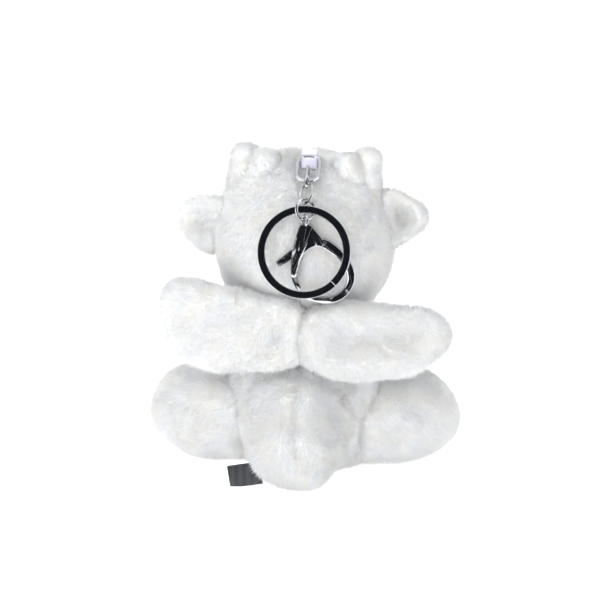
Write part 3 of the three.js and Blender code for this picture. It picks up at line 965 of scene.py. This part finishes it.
        add_node(self.tree, "NodeGroupOutput", {"Geometry": last})

    def plant(self, ground: bpy.types.Object, name: str, pile: Pile, seed: int) -> bpy.types.Object:
        """Grows a pile on a surface.

        Args:
            ground: The surface, whose "grown" attribute is 0 where nothing grows.
            name: The pile's name.
            pile: How it grows.
            seed: Its random seed.

        Returns:
            The pile as a plain mesh, shaded by the cloth that it grows from.
        """
        host = add_object(name, ground.data)
        planting = host.modifiers.new("planting", "NODES")
        planting.node_group = self.tree
        values = {
            "Density": pile.density,
            "Length": pile.length,
            "Width": pile.width,
            "Lean": pile.lean,
            "Swirl": pile.swirl,
            "Tuft Size": pile.tuft,
            "Comb": pile.comb,
            "Seed": seed,
        }
        for key, value in values.items():
            planting[self.sockets[key]] = value
        settle(host)
        mesh = host.data
        at = places(host)
        at[:, 2] = np.maximum(at[:, 2], FLOOR_CLEARANCE)
        put(host, at)
        shade = np.empty(len(mesh.vertices) * 3, np.float32)
        mesh.attributes["shade"].data.foreach_get("vector", shade)
        mesh.normals_split_custom_set_from_vertices(shade.reshape(-1, 3))
        for spent in ("shade", "tone", "grown"):
            if spent in mesh.attributes:
                mesh.attributes.remove(mesh.attributes[spent])
        return host


# ---------------------------------------------------------------- skins


@dataclass
class Skin:
    """One sewn, stuffed skin, the surface its pile grows from, and what it stands for."""

    name: str
    ground: bpy.types.Object
    body: Body
    nodes: tuple[str, ...]
    pile: Pile
    fill: float = 0.75
    slot: Slot = Slot.PLUSH
    finish: Finish = GROUND_CLOTH
    cloth: float = 0.0  # the cloth's thickness, for an open panel
    piece: bpy.types.Object | None = None

    def dress(self) -> None:
        """Gives the skin its cloth, and puts it on its body in its solids' place."""
        self.piece = lined(self.ground, self.name, self.cloth) if self.cloth else self.ground
        self.piece.data.materials.clear()
        self.piece.data.materials.append(self.finish.material())
        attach(self.piece, self.body.value)
        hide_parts(*self.nodes)
        faces = len(self.piece.data.polygons)
        log.info("skin %s rides %s, %d faces", self.piece.name, self.body.value, faces)

    def tree(self) -> BVHTree:
        """Makes a search tree of the skin's surface.

        Returns:
            The tree.
        """
        at = [tuple(p) for p in places(self.ground)]
        return BVHTree.FromPolygons(at, [tuple(f.vertices) for f in self.ground.data.polygons])


@dataclass
class Easing:
    """Fills the creases where sewn pieces of one body meet, as stuffing and pile do."""

    swell: float = 2.4 * MM
    reach: float = 5.0 * MM

    def ease(self, skins: Sequence[Skin]) -> None:
        """Swells each skin where another of its body is near.

        Args:
            skins: The skins, whose grounds are changed.
        """
        known = [(skin, skin.tree(), places(skin.ground)) for skin in skins if skin.pile.density]
        for skin, _, at in known:
            facing = facings(skin.ground)
            swell = np.zeros(len(at))
            for other, tree, there in known:
                if other is skin or other.body is not skin.body or skin.name[:4] == other.name[:4]:
                    continue
                low, high = there.min(0) - self.reach * 2, there.max(0) + self.reach * 2
                for i in np.flatnonzero((at > low).all(1) & (at < high).all(1)):
                    near = tree.find_nearest(Vector(at[i].tolist()))[0]
                    gap = (near - Vector(at[i].tolist())).length
                    swell[i] = max(swell[i], self.swell * math.exp(-((gap / self.reach) ** 2)))
            put(skin.ground, at + facing * swell[:, None])


@dataclass
class Coat:
    """The whole pile: it grows on each skin wherever no other skin covers it."""

    skins: list[Skin]
    clear: tuple[str, ...] = ("eye_left", "eye_right", "nose_patch")  # the pile is trimmed round these
    margin: float = 0.9 * MM
    cover: float = 0.8 * MM  # how deep in a neighbour a point lies before nothing grows there
    trees: list[tuple[Skin, BVHTree, np.ndarray, np.ndarray]] = field(default_factory=list)

    def bare(self, skin: Skin) -> np.ndarray:
        """Finds the points of a skin that lie inside its neighbours or under an eye or the nose.

        Args:
            skin: The skin.

        Returns:
            True at each buried point.
        """
        at = places(skin.ground)
        buried = np.zeros(len(at), bool)
        for node in self.clear:
            low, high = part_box(node)
            middle, half = np.array((low + high) / 2), np.array((high - low) / 2) + self.margin
            buried |= (((at - middle) / half) ** 2).sum(1) < 1
        for other, tree, low, high in self.trees:
            if other is skin:
                continue
            for i in np.flatnonzero(~buried & (at > low).all(1) & (at < high).all(1)):
                point = Vector(at[i].tolist())
                near, facing, _, _ = tree.find_nearest(point)
                if near is not None and (point - near).dot(facing) < -self.cover:
                    buried[i] = True
        return buried

    def grow(self, planter: PilePlanter) -> None:
        """Plants every skin's pile and puts it on the skin's body.

        Args:
            planter: The group that plants.
        """
        for skin in self.skins:
            at = places(skin.ground)
            self.trees.append((skin, skin.tree(), at.min(0), at.max(0)))
        for seed, skin in enumerate(self.skins):
            if not skin.pile.density:
                continue
            mesh = skin.ground.data
            grown = mesh.attributes.get("grown") or mesh.attributes.new("grown", "FLOAT", "POINT")
            grown.data.foreach_set("value", (~self.bare(skin)).astype(np.float32))
            fur = planter.plant(skin.ground, skin.name + "_pile", skin.pile, seed + 1)
            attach(fur, skin.body.value)
            log.info("pile %s, %d faces", fur.name, len(fur.data.polygons))
        for skin in self.skins:
            if skin.ground is not skin.piece:
                bpy.data.objects.remove(skin.ground)
            elif "grown" in skin.piece.data.attributes:
                skin.piece.data.attributes.remove(skin.piece.data.attributes["grown"])


def oval_of(low: Vector, high: Vector) -> tuple[Vec, Vec]:
    """The centre and the radii of the ellipsoid in a box."""
    return tuple((low + high) / 2), tuple((high - low) / 2)


@dataclass
class Head:
    """The head: two skins sewn up the middle, stuffing, a muzzle, a stitched nose and two eyes."""

    cloth: float = 1.0 * MM
    sink: float = 0.8 * MM
    seam_width: float = 1.3 * MM
    seam_depth: float = 0.9 * MM
    skins: list[Skin] = field(default_factory=list)

    def build(self) -> None:
        """Makes the two skins, the stuffing and the muzzle."""
        left_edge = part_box("head_panel_left")[1].x
        right_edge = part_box("head_panel_right")[0].x
        centre, radii = head_oval()
        inner = tuple(r - self.sink for r in radii)
        top = (0.0, centre[1], centre[2] + radii[2])
        back = (0.0, centre[1] - radii[1], centre[2])
        crown = tuple(
            (0.0, centre[1] - inner[1] * math.cos(a), centre[2] + inner[2] * math.sin(a))
            for a in np.linspace(-math.pi / 2, 1.5 * math.pi, 41)
        )
        marks = (
            Seam(crown, self.seam_width, self.seam_depth),
            Lumps(13 * MM, 0.9 * MM, 4.0),
            Dent((0.0, back[1] + 2 * MM, top[2] - 9 * MM), (7 * MM, 8 * MM, 6 * MM), 0.8 * MM),
            Dent((0.0, back[1] + 5 * MM, 56 * MM), (24 * MM, 9 * MM, 7 * MM), -2.6 * MM),
        )
        for side, edge in ((Side.LEFT, left_edge), (Side.RIGHT, right_edge)):
            name = "head_skin_" + side.word
            ground = oval_panel(name + "_ground", centre, inner, [Plane((edge, 0, 0), (-side.value, 0, 0))])
            sculpt(ground, marks)
            nodes = ("head_panel_" + side.word,)
            self.skins.append(Skin(name, ground, Body.PLUSH, nodes, Pile(), fill=0.85, cloth=self.cloth))
        muzzle = soft_copy("muzzle", "muzzle_skin", 0.9 * MM, 0.7 * MM, 4)
        put(muzzle, Root(*head_oval()).pull(places(muzzle)))
        sculpt(muzzle, [Lumps(8 * MM, 0.4 * MM, 2.0)])
        short = Pile(length=1.5 * MM, density=11e6)
        self.skins.append(Skin(muzzle.name, muzzle, Body.PLUSH, ("muzzle",), short, fill=0.8))

    def dress(self) -> None:
        """Dresses the skins, the stuffing, the nose and the eyes."""
        for skin in self.skins:
            skin.dress()
        stuffing("head_stuffing", "head_fibre", 3.0)
        nose = soft_copy("nose_patch", "nose_stitching", 0.35 * MM, 0.0, 2)
        nodes = ("nose_patch",)
        Skin(nose.name, nose, Body.PLUSH, nodes, Pile(density=0), 0.9, Slot.NOSE, NOSE_THREAD).dress()
        for side in Side:
            recolour("eye_" + side.word, EYE_PLASTIC)
            recolour("eye_washer_" + side.word, WASHER_PLASTIC)


def recolour(node: str, finish: Finish) -> None:
    """Gives a CAD node that keeps its own shape a new finish.

    Args:
        node: The CAD node.
        finish: Its finish.
    """
    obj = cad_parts[node]
    obj.data.materials.clear()
    obj.data.materials.append(finish.material())
    obj.data.shade_smooth()
    log.info("node %s is %s", node, finish.name)


def stuffing(node: str, name: str, seed: float) -> None:
    """Replaces a stuffing solid with a lumpy mass of fibre.

    Args:
        node: The stuffing's CAD node.
        name: The fibre's name.
        seed: Which lumps it gets.
    """
    mass = soft_copy(node, name, 1.6 * MM, 1.8 * MM, 3)
    sculpt(mass, [Lumps(6 * MM, 1.0 * MM, seed), Lumps(2.5 * MM, 0.35 * MM, seed + 1)])
    Skin(name, mass, Body.PLUSH, (node,), Pile(density=0), 0.7, Slot.STUFFING, STUFFING).dress()


@dataclass
class Torso:
    """The torso: two back skins, a belly skin, a flat base and stuffing."""

    cloth: float = 1.0 * MM
    sink: float = 0.6 * MM
    skins: list[Skin] = field(default_factory=list)

    def build(self) -> None:
        """Makes the three skins and the base."""
        left_low, left_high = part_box("torso_back_left")
        right_low, right_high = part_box("torso_back_right")
        belly_low, belly_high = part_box("torso_belly")
        base_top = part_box("torso_base")[1].z
        across = (left_low.x + right_high.x) / 2
        top = max(left_high.z, belly_high.z)
        centre, radii = torso_oval()
        inner = tuple(r - self.sink for r in radii)
        floor = Plane((0, 0, base_top), (0, 0, -1))
        crown = Plane((0, 0, top), (0, 0, 1))
        behind = Plane((0, left_high.y, 0), (0, 1, 0))
        spine = tuple(
            (across, centre[1] - inner[1] * math.cos(a), centre[2] + inner[2] * math.sin(a))
            for a in np.linspace(-1.2, 1.2, 25)
        )
        marks = (
            Seam(spine, 1.3 * MM, 1.0 * MM),
            Lumps(12 * MM, 0.9 * MM, 8.0),
            Dent((across, centre[1] - radii[1], 31 * MM), (17 * MM, 10 * MM, 9 * MM), -3.0 * MM),
        )
        panels = {
            "torso_back_left": [Plane((left_high.x, 0, 0), (1, 0, 0)), behind, floor, crown],
            "torso_back_right": [Plane((right_low.x, 0, 0), (-1, 0, 0)), behind, floor, crown],
            "torso_belly": [Plane((0, belly_low.y, 0), (0, -1, 0)), floor, crown],
        }
        for node, cuts in panels.items():
            ground = oval_panel(node + "_ground", centre, inner, cuts)
            sculpt(ground, marks)
            skin = Skin(node + "_skin", ground, Body.PLUSH, (node,), Pile(), fill=0.8, cloth=self.cloth)
            self.skins.append(skin)
        base = soft_copy("torso_base", "torso_base_skin", 0.7 * MM, 0.0, 1)
        bare, nodes = Pile(density=0), ("torso_base",)
        self.skins.append(Skin(base.name, base, Body.PLUSH, nodes, bare, fill=0.5, finish=BASE_CLOTH))

    def dress(self) -> None:
        """Dresses the skins and the stuffing."""
        for skin in self.skins:
            skin.dress()
        stuffing("torso_stuffing", "torso_fibre", 9.0)


@dataclass(frozen=True)
class Root:
    """Where a pad is sewn on: its end is drawn into the oval body that it meets."""

    centre: Vec
    radii: Vec
    reach: float = 2.2 * MM
    depth: float = 2.6 * MM

    def pull(self, at: np.ndarray) -> np.ndarray:
        """Draws the points near the oval in towards its middle.

        Args:
            at: The points.

        Returns:
            The points, moved.
        """
        centre, radii = np.array(self.centre), np.array(self.radii)
        away = (np.linalg.norm((at - centre) / radii, axis=1) - 1) * radii.mean()
        share = np.clip(1 - np.maximum(away, 0) / self.reach, 0, 1)
        share = share * share * (3 - 2 * share) * (away > -self.reach)
        inward = centre - at
        inward /= np.linalg.norm(inward, axis=1, keepdims=True)
        return at + inward * (share * self.depth)[:, None]


def head_oval() -> tuple[Vec, Vec]:
    """The head's centre and radii."""
    return oval_of(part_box("head_panel_left")[0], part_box("head_panel_right")[1])


def torso_oval() -> tuple[Vec, Vec]:
    """Finds the torso's oval, as if its flat base weren't cut off.

    Returns:
        Its centre and radii.
    """
    left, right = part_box("torso_back_left")[0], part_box("torso_back_right")[1]
    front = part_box("torso_belly")[1].y
    centre = ((left.x + right.x) / 2, (left.y + front) / 2, TORSO_CENTRE_Z)
    return centre, ((right.x - left.x) / 2, (front - left.y) / 2, TORSO_RADIUS_Z)


@dataclass
class PadSpec:
    """What one stuffed pad is made from."""

    node: str
    body: Body
    voxel: float
    marks: tuple[Mark, ...]
    roots: tuple[Root, ...] = ()
    pile: Pile = Pile()
    sink: float = 0.5 * MM
    rounds: int = 6
    fill: float = 0.75


@dataclass
class Pads:
    """Stuffed pads that share one way of making: legs, arms, tail, antlers, ears or wings."""

    specs: tuple[PadSpec, ...]
    skins: list[Skin] = field(default_factory=list)

    def build(self) -> None:
        """Makes each pad's skin and sculpts it."""
        for spec in self.specs:
            skin = soft_copy(spec.node, spec.node + "_skin", spec.voxel, spec.sink, spec.rounds)
            for root in spec.roots:
                put(skin, root.pull(places(skin)))
            sculpt(skin, spec.marks)
            self.skins.append(Skin(skin.name, skin, spec.body, (spec.node,), spec.pile, spec.fill))

    def dress(self) -> None:
        """Dresses each pad."""
        for skin in self.skins:
            skin.dress()


def limbs() -> Pads:
    """Specifies the seated legs, the short arms and the tail.

    Returns:
        The five pads.
    """
    tail_low, tail_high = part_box("tail")
    middle = (tail_low.x + tail_high.x) / 2
    seam = (
        (middle, tail_high.y, tail_high.z),
        (middle, tail_low.y + 14 * MM, tail_high.z - 4 * MM),
        (middle, tail_low.y + 4 * MM, tail_high.z - 10 * MM),
        (middle + 0.6 * MM, tail_low.y, tail_high.z - 17 * MM),
    )
    sewn = (Root(*torso_oval(), depth=4 * MM),)
    short = Pile(length=1.8 * MM)
    return Pads(
        (
            PadSpec(
                "leg_left",
                Body.PLUSH,
                1.5 * MM,
                (
                    Lumps(14 * MM, 1.2 * MM, 5.0),
                    Dent((-20 * MM, -9 * MM, 14 * MM), (8 * MM, 8 * MM, 12 * MM), -3.0 * MM),
                    Dent((-50 * MM, 6 * MM, 17 * MM), (8 * MM, 14 * MM, 10 * MM), -1.4 * MM),
                ),
                sewn,
                Pile(comb=(-0.6, -0.2, -0.8)),
                0.0,
            ),
            PadSpec(
                "leg_right",
                Body.PLUSH,
                1.5 * MM,
                (
                    Lumps(14 * MM, 1.2 * MM, 6.0),
                    Dent((40.3 * MM, -3 * MM, 21 * MM), (5 * MM, 5 * MM, 4 * MM), 1.8 * MM),
                    Dent((21 * MM, -9 * MM, 14 * MM), (8 * MM, 8 * MM, 12 * MM), -3.0 * MM),
                ),
                sewn,
                Pile(comb=(0.6, -0.2, -0.8)),
            ),
            *(
                PadSpec(node, Body.PLUSH, 1.1 * MM, (lumps,), sewn, short, 0.6 * MM, 4)
                for node, lumps in (
                    ("arm_left", Lumps(9 * MM, 0.5 * MM, 1.0)),
                    ("arm_right", Lumps(9 * MM, 0.5 * MM, 2.0)),
                )
            ),
            PadSpec(
                "tail",
                Body.PLUSH,
                1.2 * MM,
                (
                    Seam(seam, 1.6 * MM, 0.7 * MM),
                    Dent(seam[-1], (3 * MM, 3 * MM, 3 * MM), 1.6 * MM),
                    Lumps(9 * MM, 0.8 * MM, 3.0),
                    Dent((middle, -17 * MM, 28 * MM), (12 * MM, 9 * MM, 7 * MM), -3.0 * MM),
                ),
                sewn,
                Pile(comb=(0.0, -0.6, -0.7)),
            ),
        )
    )


def antlers() -> Pads:
    """Specifies the two forked antlers, with a pinch in each fork.

    Returns:
        The two pads.
    """
    specs = []
    for side, seed in ((Side.LEFT, 1.0), (Side.RIGHT, 2.0)):
        low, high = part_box("antler_" + side.word)
        fork = ((low.x + high.x) / 2 - side.value * 0.8 * MM, low.y + 1 * MM, high.z - 5 * MM)
        pinch = Dent(fork, (1.6 * MM, 4 * MM, 4 * MM), 0.8 * MM)
        pile = Pile(length=1.5 * MM, comb=(0.0, 0.0, -0.5))
        marks = (Lumps(6 * MM, 0.5 * MM, seed), pinch)
        sewn = (Root(*head_oval()),)
        node = "antler_" + side.word
        specs.append(PadSpec(node, Body.PLUSH, 0.8 * MM, marks, sewn, pile, 0.3 * MM, 3, 0.8))
    return Pads(tuple(specs))


def ears() -> Pads:
    """Specifies the two ears, each cupped on the back.

    Returns:
        The two pads.
    """
    specs = []
    for side, body in ((Side.LEFT, Body.EAR_LEFT), (Side.RIGHT, Body.EAR_RIGHT)):
        low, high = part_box("ear_" + side.word)
        inner_x = high.x if side is Side.LEFT else low.x
        heart = (inner_x + side.value * 6 * MM, low.y, (low.z + high.z) / 2)
        cup = Dent(heart, (5 * MM, 6 * MM, 8 * MM), (2.0 if side is Side.LEFT else 6.4) * MM)
        edge = (heart[0] + side.value * 9 * MM, low.y, heart[2] + 2 * MM)
        rim = Dent(edge, (5 * MM, 5 * MM, 9 * MM), -1.4 * MM)
        front = Dent((heart[0], high.y, heart[2]), (6 * MM, 4 * MM, 7 * MM), 1.6 * MM)
        pile = Pile(length=2.2 * MM, comb=(side.value * 0.9, 0.0, -0.2))
        marks = (cup, rim, front, Lumps(8 * MM, 0.6 * MM, 3.0))
        sewn = (Root(*head_oval(), reach=3 * MM, depth=3.4 * MM),)
        specs.append(PadSpec("ear_" + side.word, body, 1.0 * MM, marks, sewn, pile, 0.1 * MM, 4))
    return Pads(tuple(specs))


def wings() -> Pads:
    """Specifies the wings: plump pads, the left slack at its root, the right with a long quilted hollow.

    Returns:
        The two pads.
    """
    left_low, left_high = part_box("wing_left")
    right_low, right_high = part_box("wing_right")
    rear = left_low.y
    slack = Dent((left_high.x - 7 * MM, rear, 53 * MM), (7 * MM, 5 * MM, 9 * MM), 2.4 * MM)
    crease = ((-10 * MM, rear, 61 * MM), (-22 * MM, rear, 57 * MM), (-35 * MM, rear, 58 * MM))
    fold = Seam(crease, 3 * MM, 0.8 * MM)
    hollow = (
        (right_low.x + 12 * MM, rear, 52.5 * MM),
        (26 * MM, rear, 51.5 * MM),
        (right_high.x - 13 * MM, rear, 54.5 * MM),
    )
    quilt = Seam(hollow, 6.4 * MM, 3.8 * MM)
    plump = (
        Dent((left_high.x, -21 * MM, 52 * MM), (5 * MM, 9 * MM, 13 * MM), -2.3 * MM),
        Dent((right_low.x, -21 * MM, 50 * MM), (5 * MM, 9 * MM, 12 * MM), -2.0 * MM),
    )
    sewn = (Root(*torso_oval(), depth=2 * MM),)
    lip = Dent((22 * MM, rear, 43.5 * MM), (16 * MM, 5 * MM, 4 * MM), -1.2 * MM)
    return Pads(
        (
            PadSpec(
                "wing_left",
                Body.WING_LEFT,
                1.3 * MM,
                (slack, fold, plump[0], Lumps(10 * MM, 1.1 * MM, 7.0)),
                sewn,
                Pile(comb=(-0.8, 0.0, -0.5)),
            ),
            PadSpec(
                "wing_right",
                Body.WING_RIGHT,
                1.3 * MM,
                (quilt, lip, plump[1], Lumps(10 * MM, 0.9 * MM, 2.0)),
                sewn,
                Pile(comb=(0.8, 0.0, -0.5)),
            ),
        )
    )


# ---------------------------------------------------------------- label and hanger


@dataclass
class Trim:
    """The woven side label and the ribbon tab: thin folded tape with softened edges."""

    edge: float = 0.12 * MM
    tucked: float = 1.6 * MM  # how far the ribbon's sewn end is drawn into the crown seam

    def tuck(self, at: np.ndarray) -> np.ndarray:
        """Draws the sewn end of the ribbon forwards, into the pile of the crown.

        Args:
            at: The ribbon's points.

        Returns:
            The points, moved.
        """
        low, high = at[:, 2].min(), at[:, 2].max()
        share = np.clip(((at[:, 2] - low) / (high - low) - 0.35) / 0.4, 0, 1)
        moved = at.copy()
        moved[:, 1] += self.tucked * share * share * (3 - 2 * share)
        return moved

    def build(self) -> None:
        """Makes both tapes and puts them in their solids' place."""
        tapes = (("side_label", Slot.LABEL, LABEL_TAPE), ("tab_ribbon", Slot.RIBBON, RIBBON_TAPE))
        for node, slot, finish in tapes:
            tape = rounded_copy(node, node + "_tape", self.edge, 2)
            if node == "tab_ribbon":
                put(tape, self.tuck(places(tape)))
            tape.data.materials.append(finish.material())
            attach(tape, Body.PLUSH.value)
            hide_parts(node)
            log.info("tape %s, %d faces", tape.name, len(tape.data.polygons))


def rounded_copy(node: str, name: str, width: float, segments: int) -> bpy.types.Object:
    """Copies a machined or cut shape with its edges rounded.

    Args:
        node: The CAD node.
        name: The copy's name.
        width: How wide the rounding is.
        segments: How many faces it takes.

    Returns:
        The copy, a plain mesh.
    """
    made = node_copy(node, name)
    shape = bmesh.new()
    shape.from_mesh(made.data)
    bmesh.ops.dissolve_limit(shape, angle_limit=math.radians(0.5), verts=shape.verts, edges=shape.edges)
    shape.to_mesh(made.data)
    shape.free()
    bevel = made.modifiers.new("edges", "BEVEL")
    bevel.width, bevel.segments = width, segments
    bevel.limit_method, bevel.angle_limit = "ANGLE", math.radians(32)
    bevel.harden_normals = False
    made.modifiers.new("even_shading", "WEIGHTED_NORMAL")
    return settle(made)


@dataclass
class SplitRing:
    """The split key ring: a flat steel strip in two turns, one behind the other, with a jog between them."""

    band: float = 2.4 * MM
    strip: float = 0.56 * MM
    layer: float = 0.36 * MM
    corner: float = 0.2 * MM
    lean: float = math.radians(18)
    jog: float = math.radians(44)
    steps: int = 260

    def section(self) -> list[tuple[float, float]]:
        """Draws the strip's cross-section: a rectangle with rounded corners and firm flats.

        Returns:
            Its points, across the band and through the strip.
        """
        points = []
        firm = 0.06 * MM
        for quarter, (u, v) in enumerate(((1, 1), (-1, 1), (-1, -1), (1, -1))):
            middle = (u * (self.band / 2 - self.corner), v * (self.strip / 2 - self.corner))
            for turn in np.linspace(0, math.pi / 2, 5):
                angle = quarter * math.pi / 2 + turn
                arc = (self.corner * math.cos(angle), self.corner * math.sin(angle))
                points.append((middle[0] + arc[0], middle[1] + arc[1]))
            inward = (-firm, 0.0) if quarter in (0, 2) else (0.0, -firm)
            last = points[-1]
            points.append((last[0] + inward[0] * u, last[1] + inward[1] * v))
            first = points[-6]
            ahead = (0.0, -firm) if quarter in (0, 2) else (-firm, 0.0)
            points.insert(-6, (first[0] + ahead[0] * u, first[1] + ahead[1] * v))
        return points

    def build(self) -> bpy.types.Object:
        """Sweeps the section twice round and closes both ends.

        Returns:
            The ring.
        """
        low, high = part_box("key_ring")
        centre = (low + high) / 2
        across = Vector((1, 0, 0))
        up = Vector((0, math.sin(self.lean), math.cos(self.lean)))
        through = Vector((0, math.cos(self.lean), -math.sin(self.lean)))
        middle = (high.x - low.x - self.band) / 2
        section = self.section()
        shape = bmesh.new()
        rows = []
        for angle in np.linspace(self.jog - math.pi / 2, 3.5 * math.pi - self.jog, self.steps):
            share = min(max((angle - (1.5 * math.pi - self.jog)) / (2 * self.jog), 0), 1)
            layer = (share * share * (3 - 2 * share) * 2 - 1) * self.layer
            outward = across * math.cos(angle) + up * math.sin(angle)
            at = [centre + outward * (middle + u) + through * (layer + v) for u, v in section]
            rows.append([shape.verts.new(point) for point in at])
        for near, far in zip(rows[:-1], rows[1:], strict=True):
            for i in range(len(section)):
                j = (i + 1) % len(section)
                shape.faces.new((near[i], near[j], far[j], far[i]))
        shape.faces.new(rows[0])
        shape.faces.new(rows[-1])
        bmesh.ops.recalc_face_normals(shape, faces=shape.faces)
        mesh = bpy.data.meshes.new("split_ring")
        shape.to_mesh(mesh)
        shape.free()
        mesh.shade_smooth()
        return add_object("split_ring", mesh)


@dataclass
class Hanger:
    """The metal chain: tab ring, two links, jump ring, split key ring and swivel clasp."""

    clasp_edge: float = 0.42 * MM

    def build(self) -> None:
        """Winds the split ring, rounds the clasp's edges, and plates the rest."""
        rounded = (
            (SplitRing().build(), "key_ring", Body.KEY_RING),
            (rounded_copy("clasp_body", "clasp_casting", self.clasp_edge, 4), "clasp_body", Body.CLASP),
            (rounded_copy("clasp_gate", "gate_lever", self.clasp_edge, 4), "clasp_gate", Body.GATE),
        )
        for piece, node, body in rounded:
            piece.data.materials.append(NICKEL.material())
            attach(piece, body.value)
            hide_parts(node)
            log.info("metal %s, %d faces", piece.name, len(piece.data.polygons))
        for node in ("tab_ring", "link_upper", "link_lower", "jump_ring", "clasp_pin"):
            recolour(node, NICKEL)
        recolour("clasp_spring", SPRING_STEEL)


# ---------------------------------------------------------------- studio


def staged(name: str, points: list[Vec], faces: list[tuple[int, ...]], finish: Finish) -> bpy.types.Object:
    """Makes a plain sheet that belongs to the studio and not to the keychain.

    Args:
        name: The sheet's name.
        points: Its corners.
        faces: Its faces, as rows of corner numbers.
        finish: Its finish.

    Returns:
        The sheet.
    """
    mesh = bpy.data.meshes.new(name)
    mesh.from_pydata(points, [], faces)
    mesh.materials.append(finish.material())
    made = add_object(name, mesh)
    return made


@dataclass
class Lamp:
    """One soft square lamp, aimed at the object."""

    name: str
    place: Vec
    size: float
    power: float
    colour: str
    mirrored: bool = True  # whether the plated metal reflects it

    def hang(self, aim: Vector) -> None:
        """Adds the lamp, turned to the object.

        Args:
            aim: The point that it faces.
        """
        light = bpy.data.lights.new(self.name, "AREA")
        light.shape, light.size, light.energy = "SQUARE", self.size, self.power
        light.color = linear(self.colour)[:3]
        made = bpy.data.objects.new(self.name, light)
        made.location = self.place
        made.visible_glossy = self.mirrored
        made.rotation_euler = (aim - Vector(self.place)).to_track_quat("-Z", "Y").to_euler()
        bpy.context.scene.collection.objects.link(made)


@dataclass
class Studio:
    """A plain pale floor, soft light all round, dark flags behind the camera that only reflections see, and
    the camera.
    """

    aim: Vec = (-0.4 * MM, -10 * MM, 60.8 * MM)
    azimuth: float = math.radians(5)
    elevation: float = math.radians(15)
    distance: float = 0.9
    frame_width: float = 0.198
    floor_half: float = 6.0
    room: float = 1.18
    lamps: tuple[Lamp, ...] = (
        Lamp("key_softbox", (-0.75, -0.62, 0.75), 1.0, 1.7, "#FFFFFF"),
        Lamp("top_softbox", (0.1, -0.15, 1.1), 0.7, 1.1, "#FFFFFF"),
        Lamp("front_softbox", (-0.2, -1.1, 0.5), 0.8, 6.8, "#FCFDFF", mirrored=False),
        Lamp("rear_softbox", (0.35, 1.2, 0.6), 0.9, 8.5, "#FFFEFB", mirrored=False),
        Lamp("side_softbox", (0.95, -0.25, 0.45), 0.4, 0.3, "#F2F6FF"),
    )
    bounces: int = 10  # light goes from fibre to fibre many times in a white pile
    flag_radius: float = 1.6
    flag_spread: float = math.radians(58)
    flag_low: float = math.radians(1)
    flag_high: float = math.radians(46)
    flag_near: float = 0.13

    def build(self) -> None:
        """Sets up the camera, the floor, the room, the dark flags and the lamps."""
        aim = Vector(self.aim)
        flat, rise = math.cos(self.elevation), math.sin(self.elevation)
        away = Vector((math.sin(self.azimuth) * flat, -math.cos(self.azimuth) * flat, rise))
        lens = bpy.data.cameras.new("studio_camera")
        lens.sensor_width = 36.0
        lens.lens = lens.sensor_width * self.distance / self.frame_width
        lens.clip_start, lens.clip_end = 0.01, 100.0
        camera = bpy.data.objects.new("studio_camera", lens)
        camera.location = aim + away * self.distance
        camera.rotation_euler = (-away).to_track_quat("-Z", "Y").to_euler()
        bpy.context.scene.collection.objects.link(camera)
        bpy.context.scene.camera = camera
        bpy.context.scene.view_settings.view_transform = "Standard"
        bpy.context.scene.cycles.diffuse_bounces = self.bounces
        bpy.context.scene.cycles.max_bounces = self.bounces + 4
        half = self.floor_half
        corners = [(-half, -half, 0), (half, -half, 0), (half, half, 0), (-half, half, 0)]
        staged("floor", corners, [(0, 1, 2, 3)], FLOOR_BOARD)
        self._flags()
        for lamp in self.lamps:
            lamp.hang(aim)
        self._room()

    def _flags(self) -> None:
        """Sets up two dark flags that only reflections see: they give the plated metal its dark faces."""
        steps = 24
        turns = np.linspace(-self.flag_spread, self.flag_spread, steps)
        rises = np.linspace(self.flag_low, self.flag_high, steps)
        points = [
            (
                self.flag_radius * math.sin(turn) * math.cos(rise),
                -self.flag_radius * math.cos(turn) * math.cos(rise),
                self.flag_radius * math.sin(rise),
            )
            for rise in rises
            for turn in turns
        ]
        faces = [
            (row * steps + i, row * steps + i + 1, (row + 1) * steps + i + 1, (row + 1) * steps + i)
            for row in range(steps - 1)
            for i in range(steps - 1)
        ]
        lift, side, far, near = 1 * MM, 0.6, self.flag_radius, self.flag_near
        card = [(-side, -far, lift), (side, -far, lift), (side, -near, lift), (-side, -near, lift)]
        for name, at, polygons in (("flag_hung", points, faces), ("flag_laid", card, [(0, 1, 2, 3)])):
            flag = staged(name, at, polygons, FLAG_CLOTH)
            flag.visible_camera = flag.visible_diffuse = False
            flag.visible_shadow = flag.visible_transmission = False

    def _room(self) -> None:
        """Makes the room's light: pale all round, and plain white where it is looked at."""
        world = bpy.data.worlds.new("studio_room")
        world.use_nodes = True
        tree = world.node_tree
        tree.nodes.clear()
        lit, plain = (
            add_node(tree, "ShaderNodeBackground", {"Color": linear(tone), "Strength": strength}).outputs[0]
            for tone, strength in (("#FAFBFD", self.room), ("#FFFFFF", 1.0))
        )
        seen = add_node(tree, "ShaderNodeLightPath").outputs["Is Camera Ray"]
        mixed = add_node(tree, "ShaderNodeMixShader", {0: seen, 1: lit, 2: plain}).outputs[0]
        add_node(tree, "ShaderNodeOutputWorld", {"Surface": mixed})
        bpy.context.scene.world = world


def main() -> None:
    """Builds the keychain from the ground up, then its pile."""
    logging.basicConfig(level=logging.INFO, format="%(name)s: %(message)s")
    Studio().build()
    soft = [Head(), Torso(), limbs(), antlers(), ears(), wings()]
    for part in soft:
        part.build()
    skins = [skin for part in soft for skin in part.skins]
    Easing().ease(skins)
    for part in soft:
        part.dress()
    Coat(skins).grow(PilePlanter(PILE_TONES))
    Trim().build()
    Hanger().build()


if __name__ == "__main__":
    main()
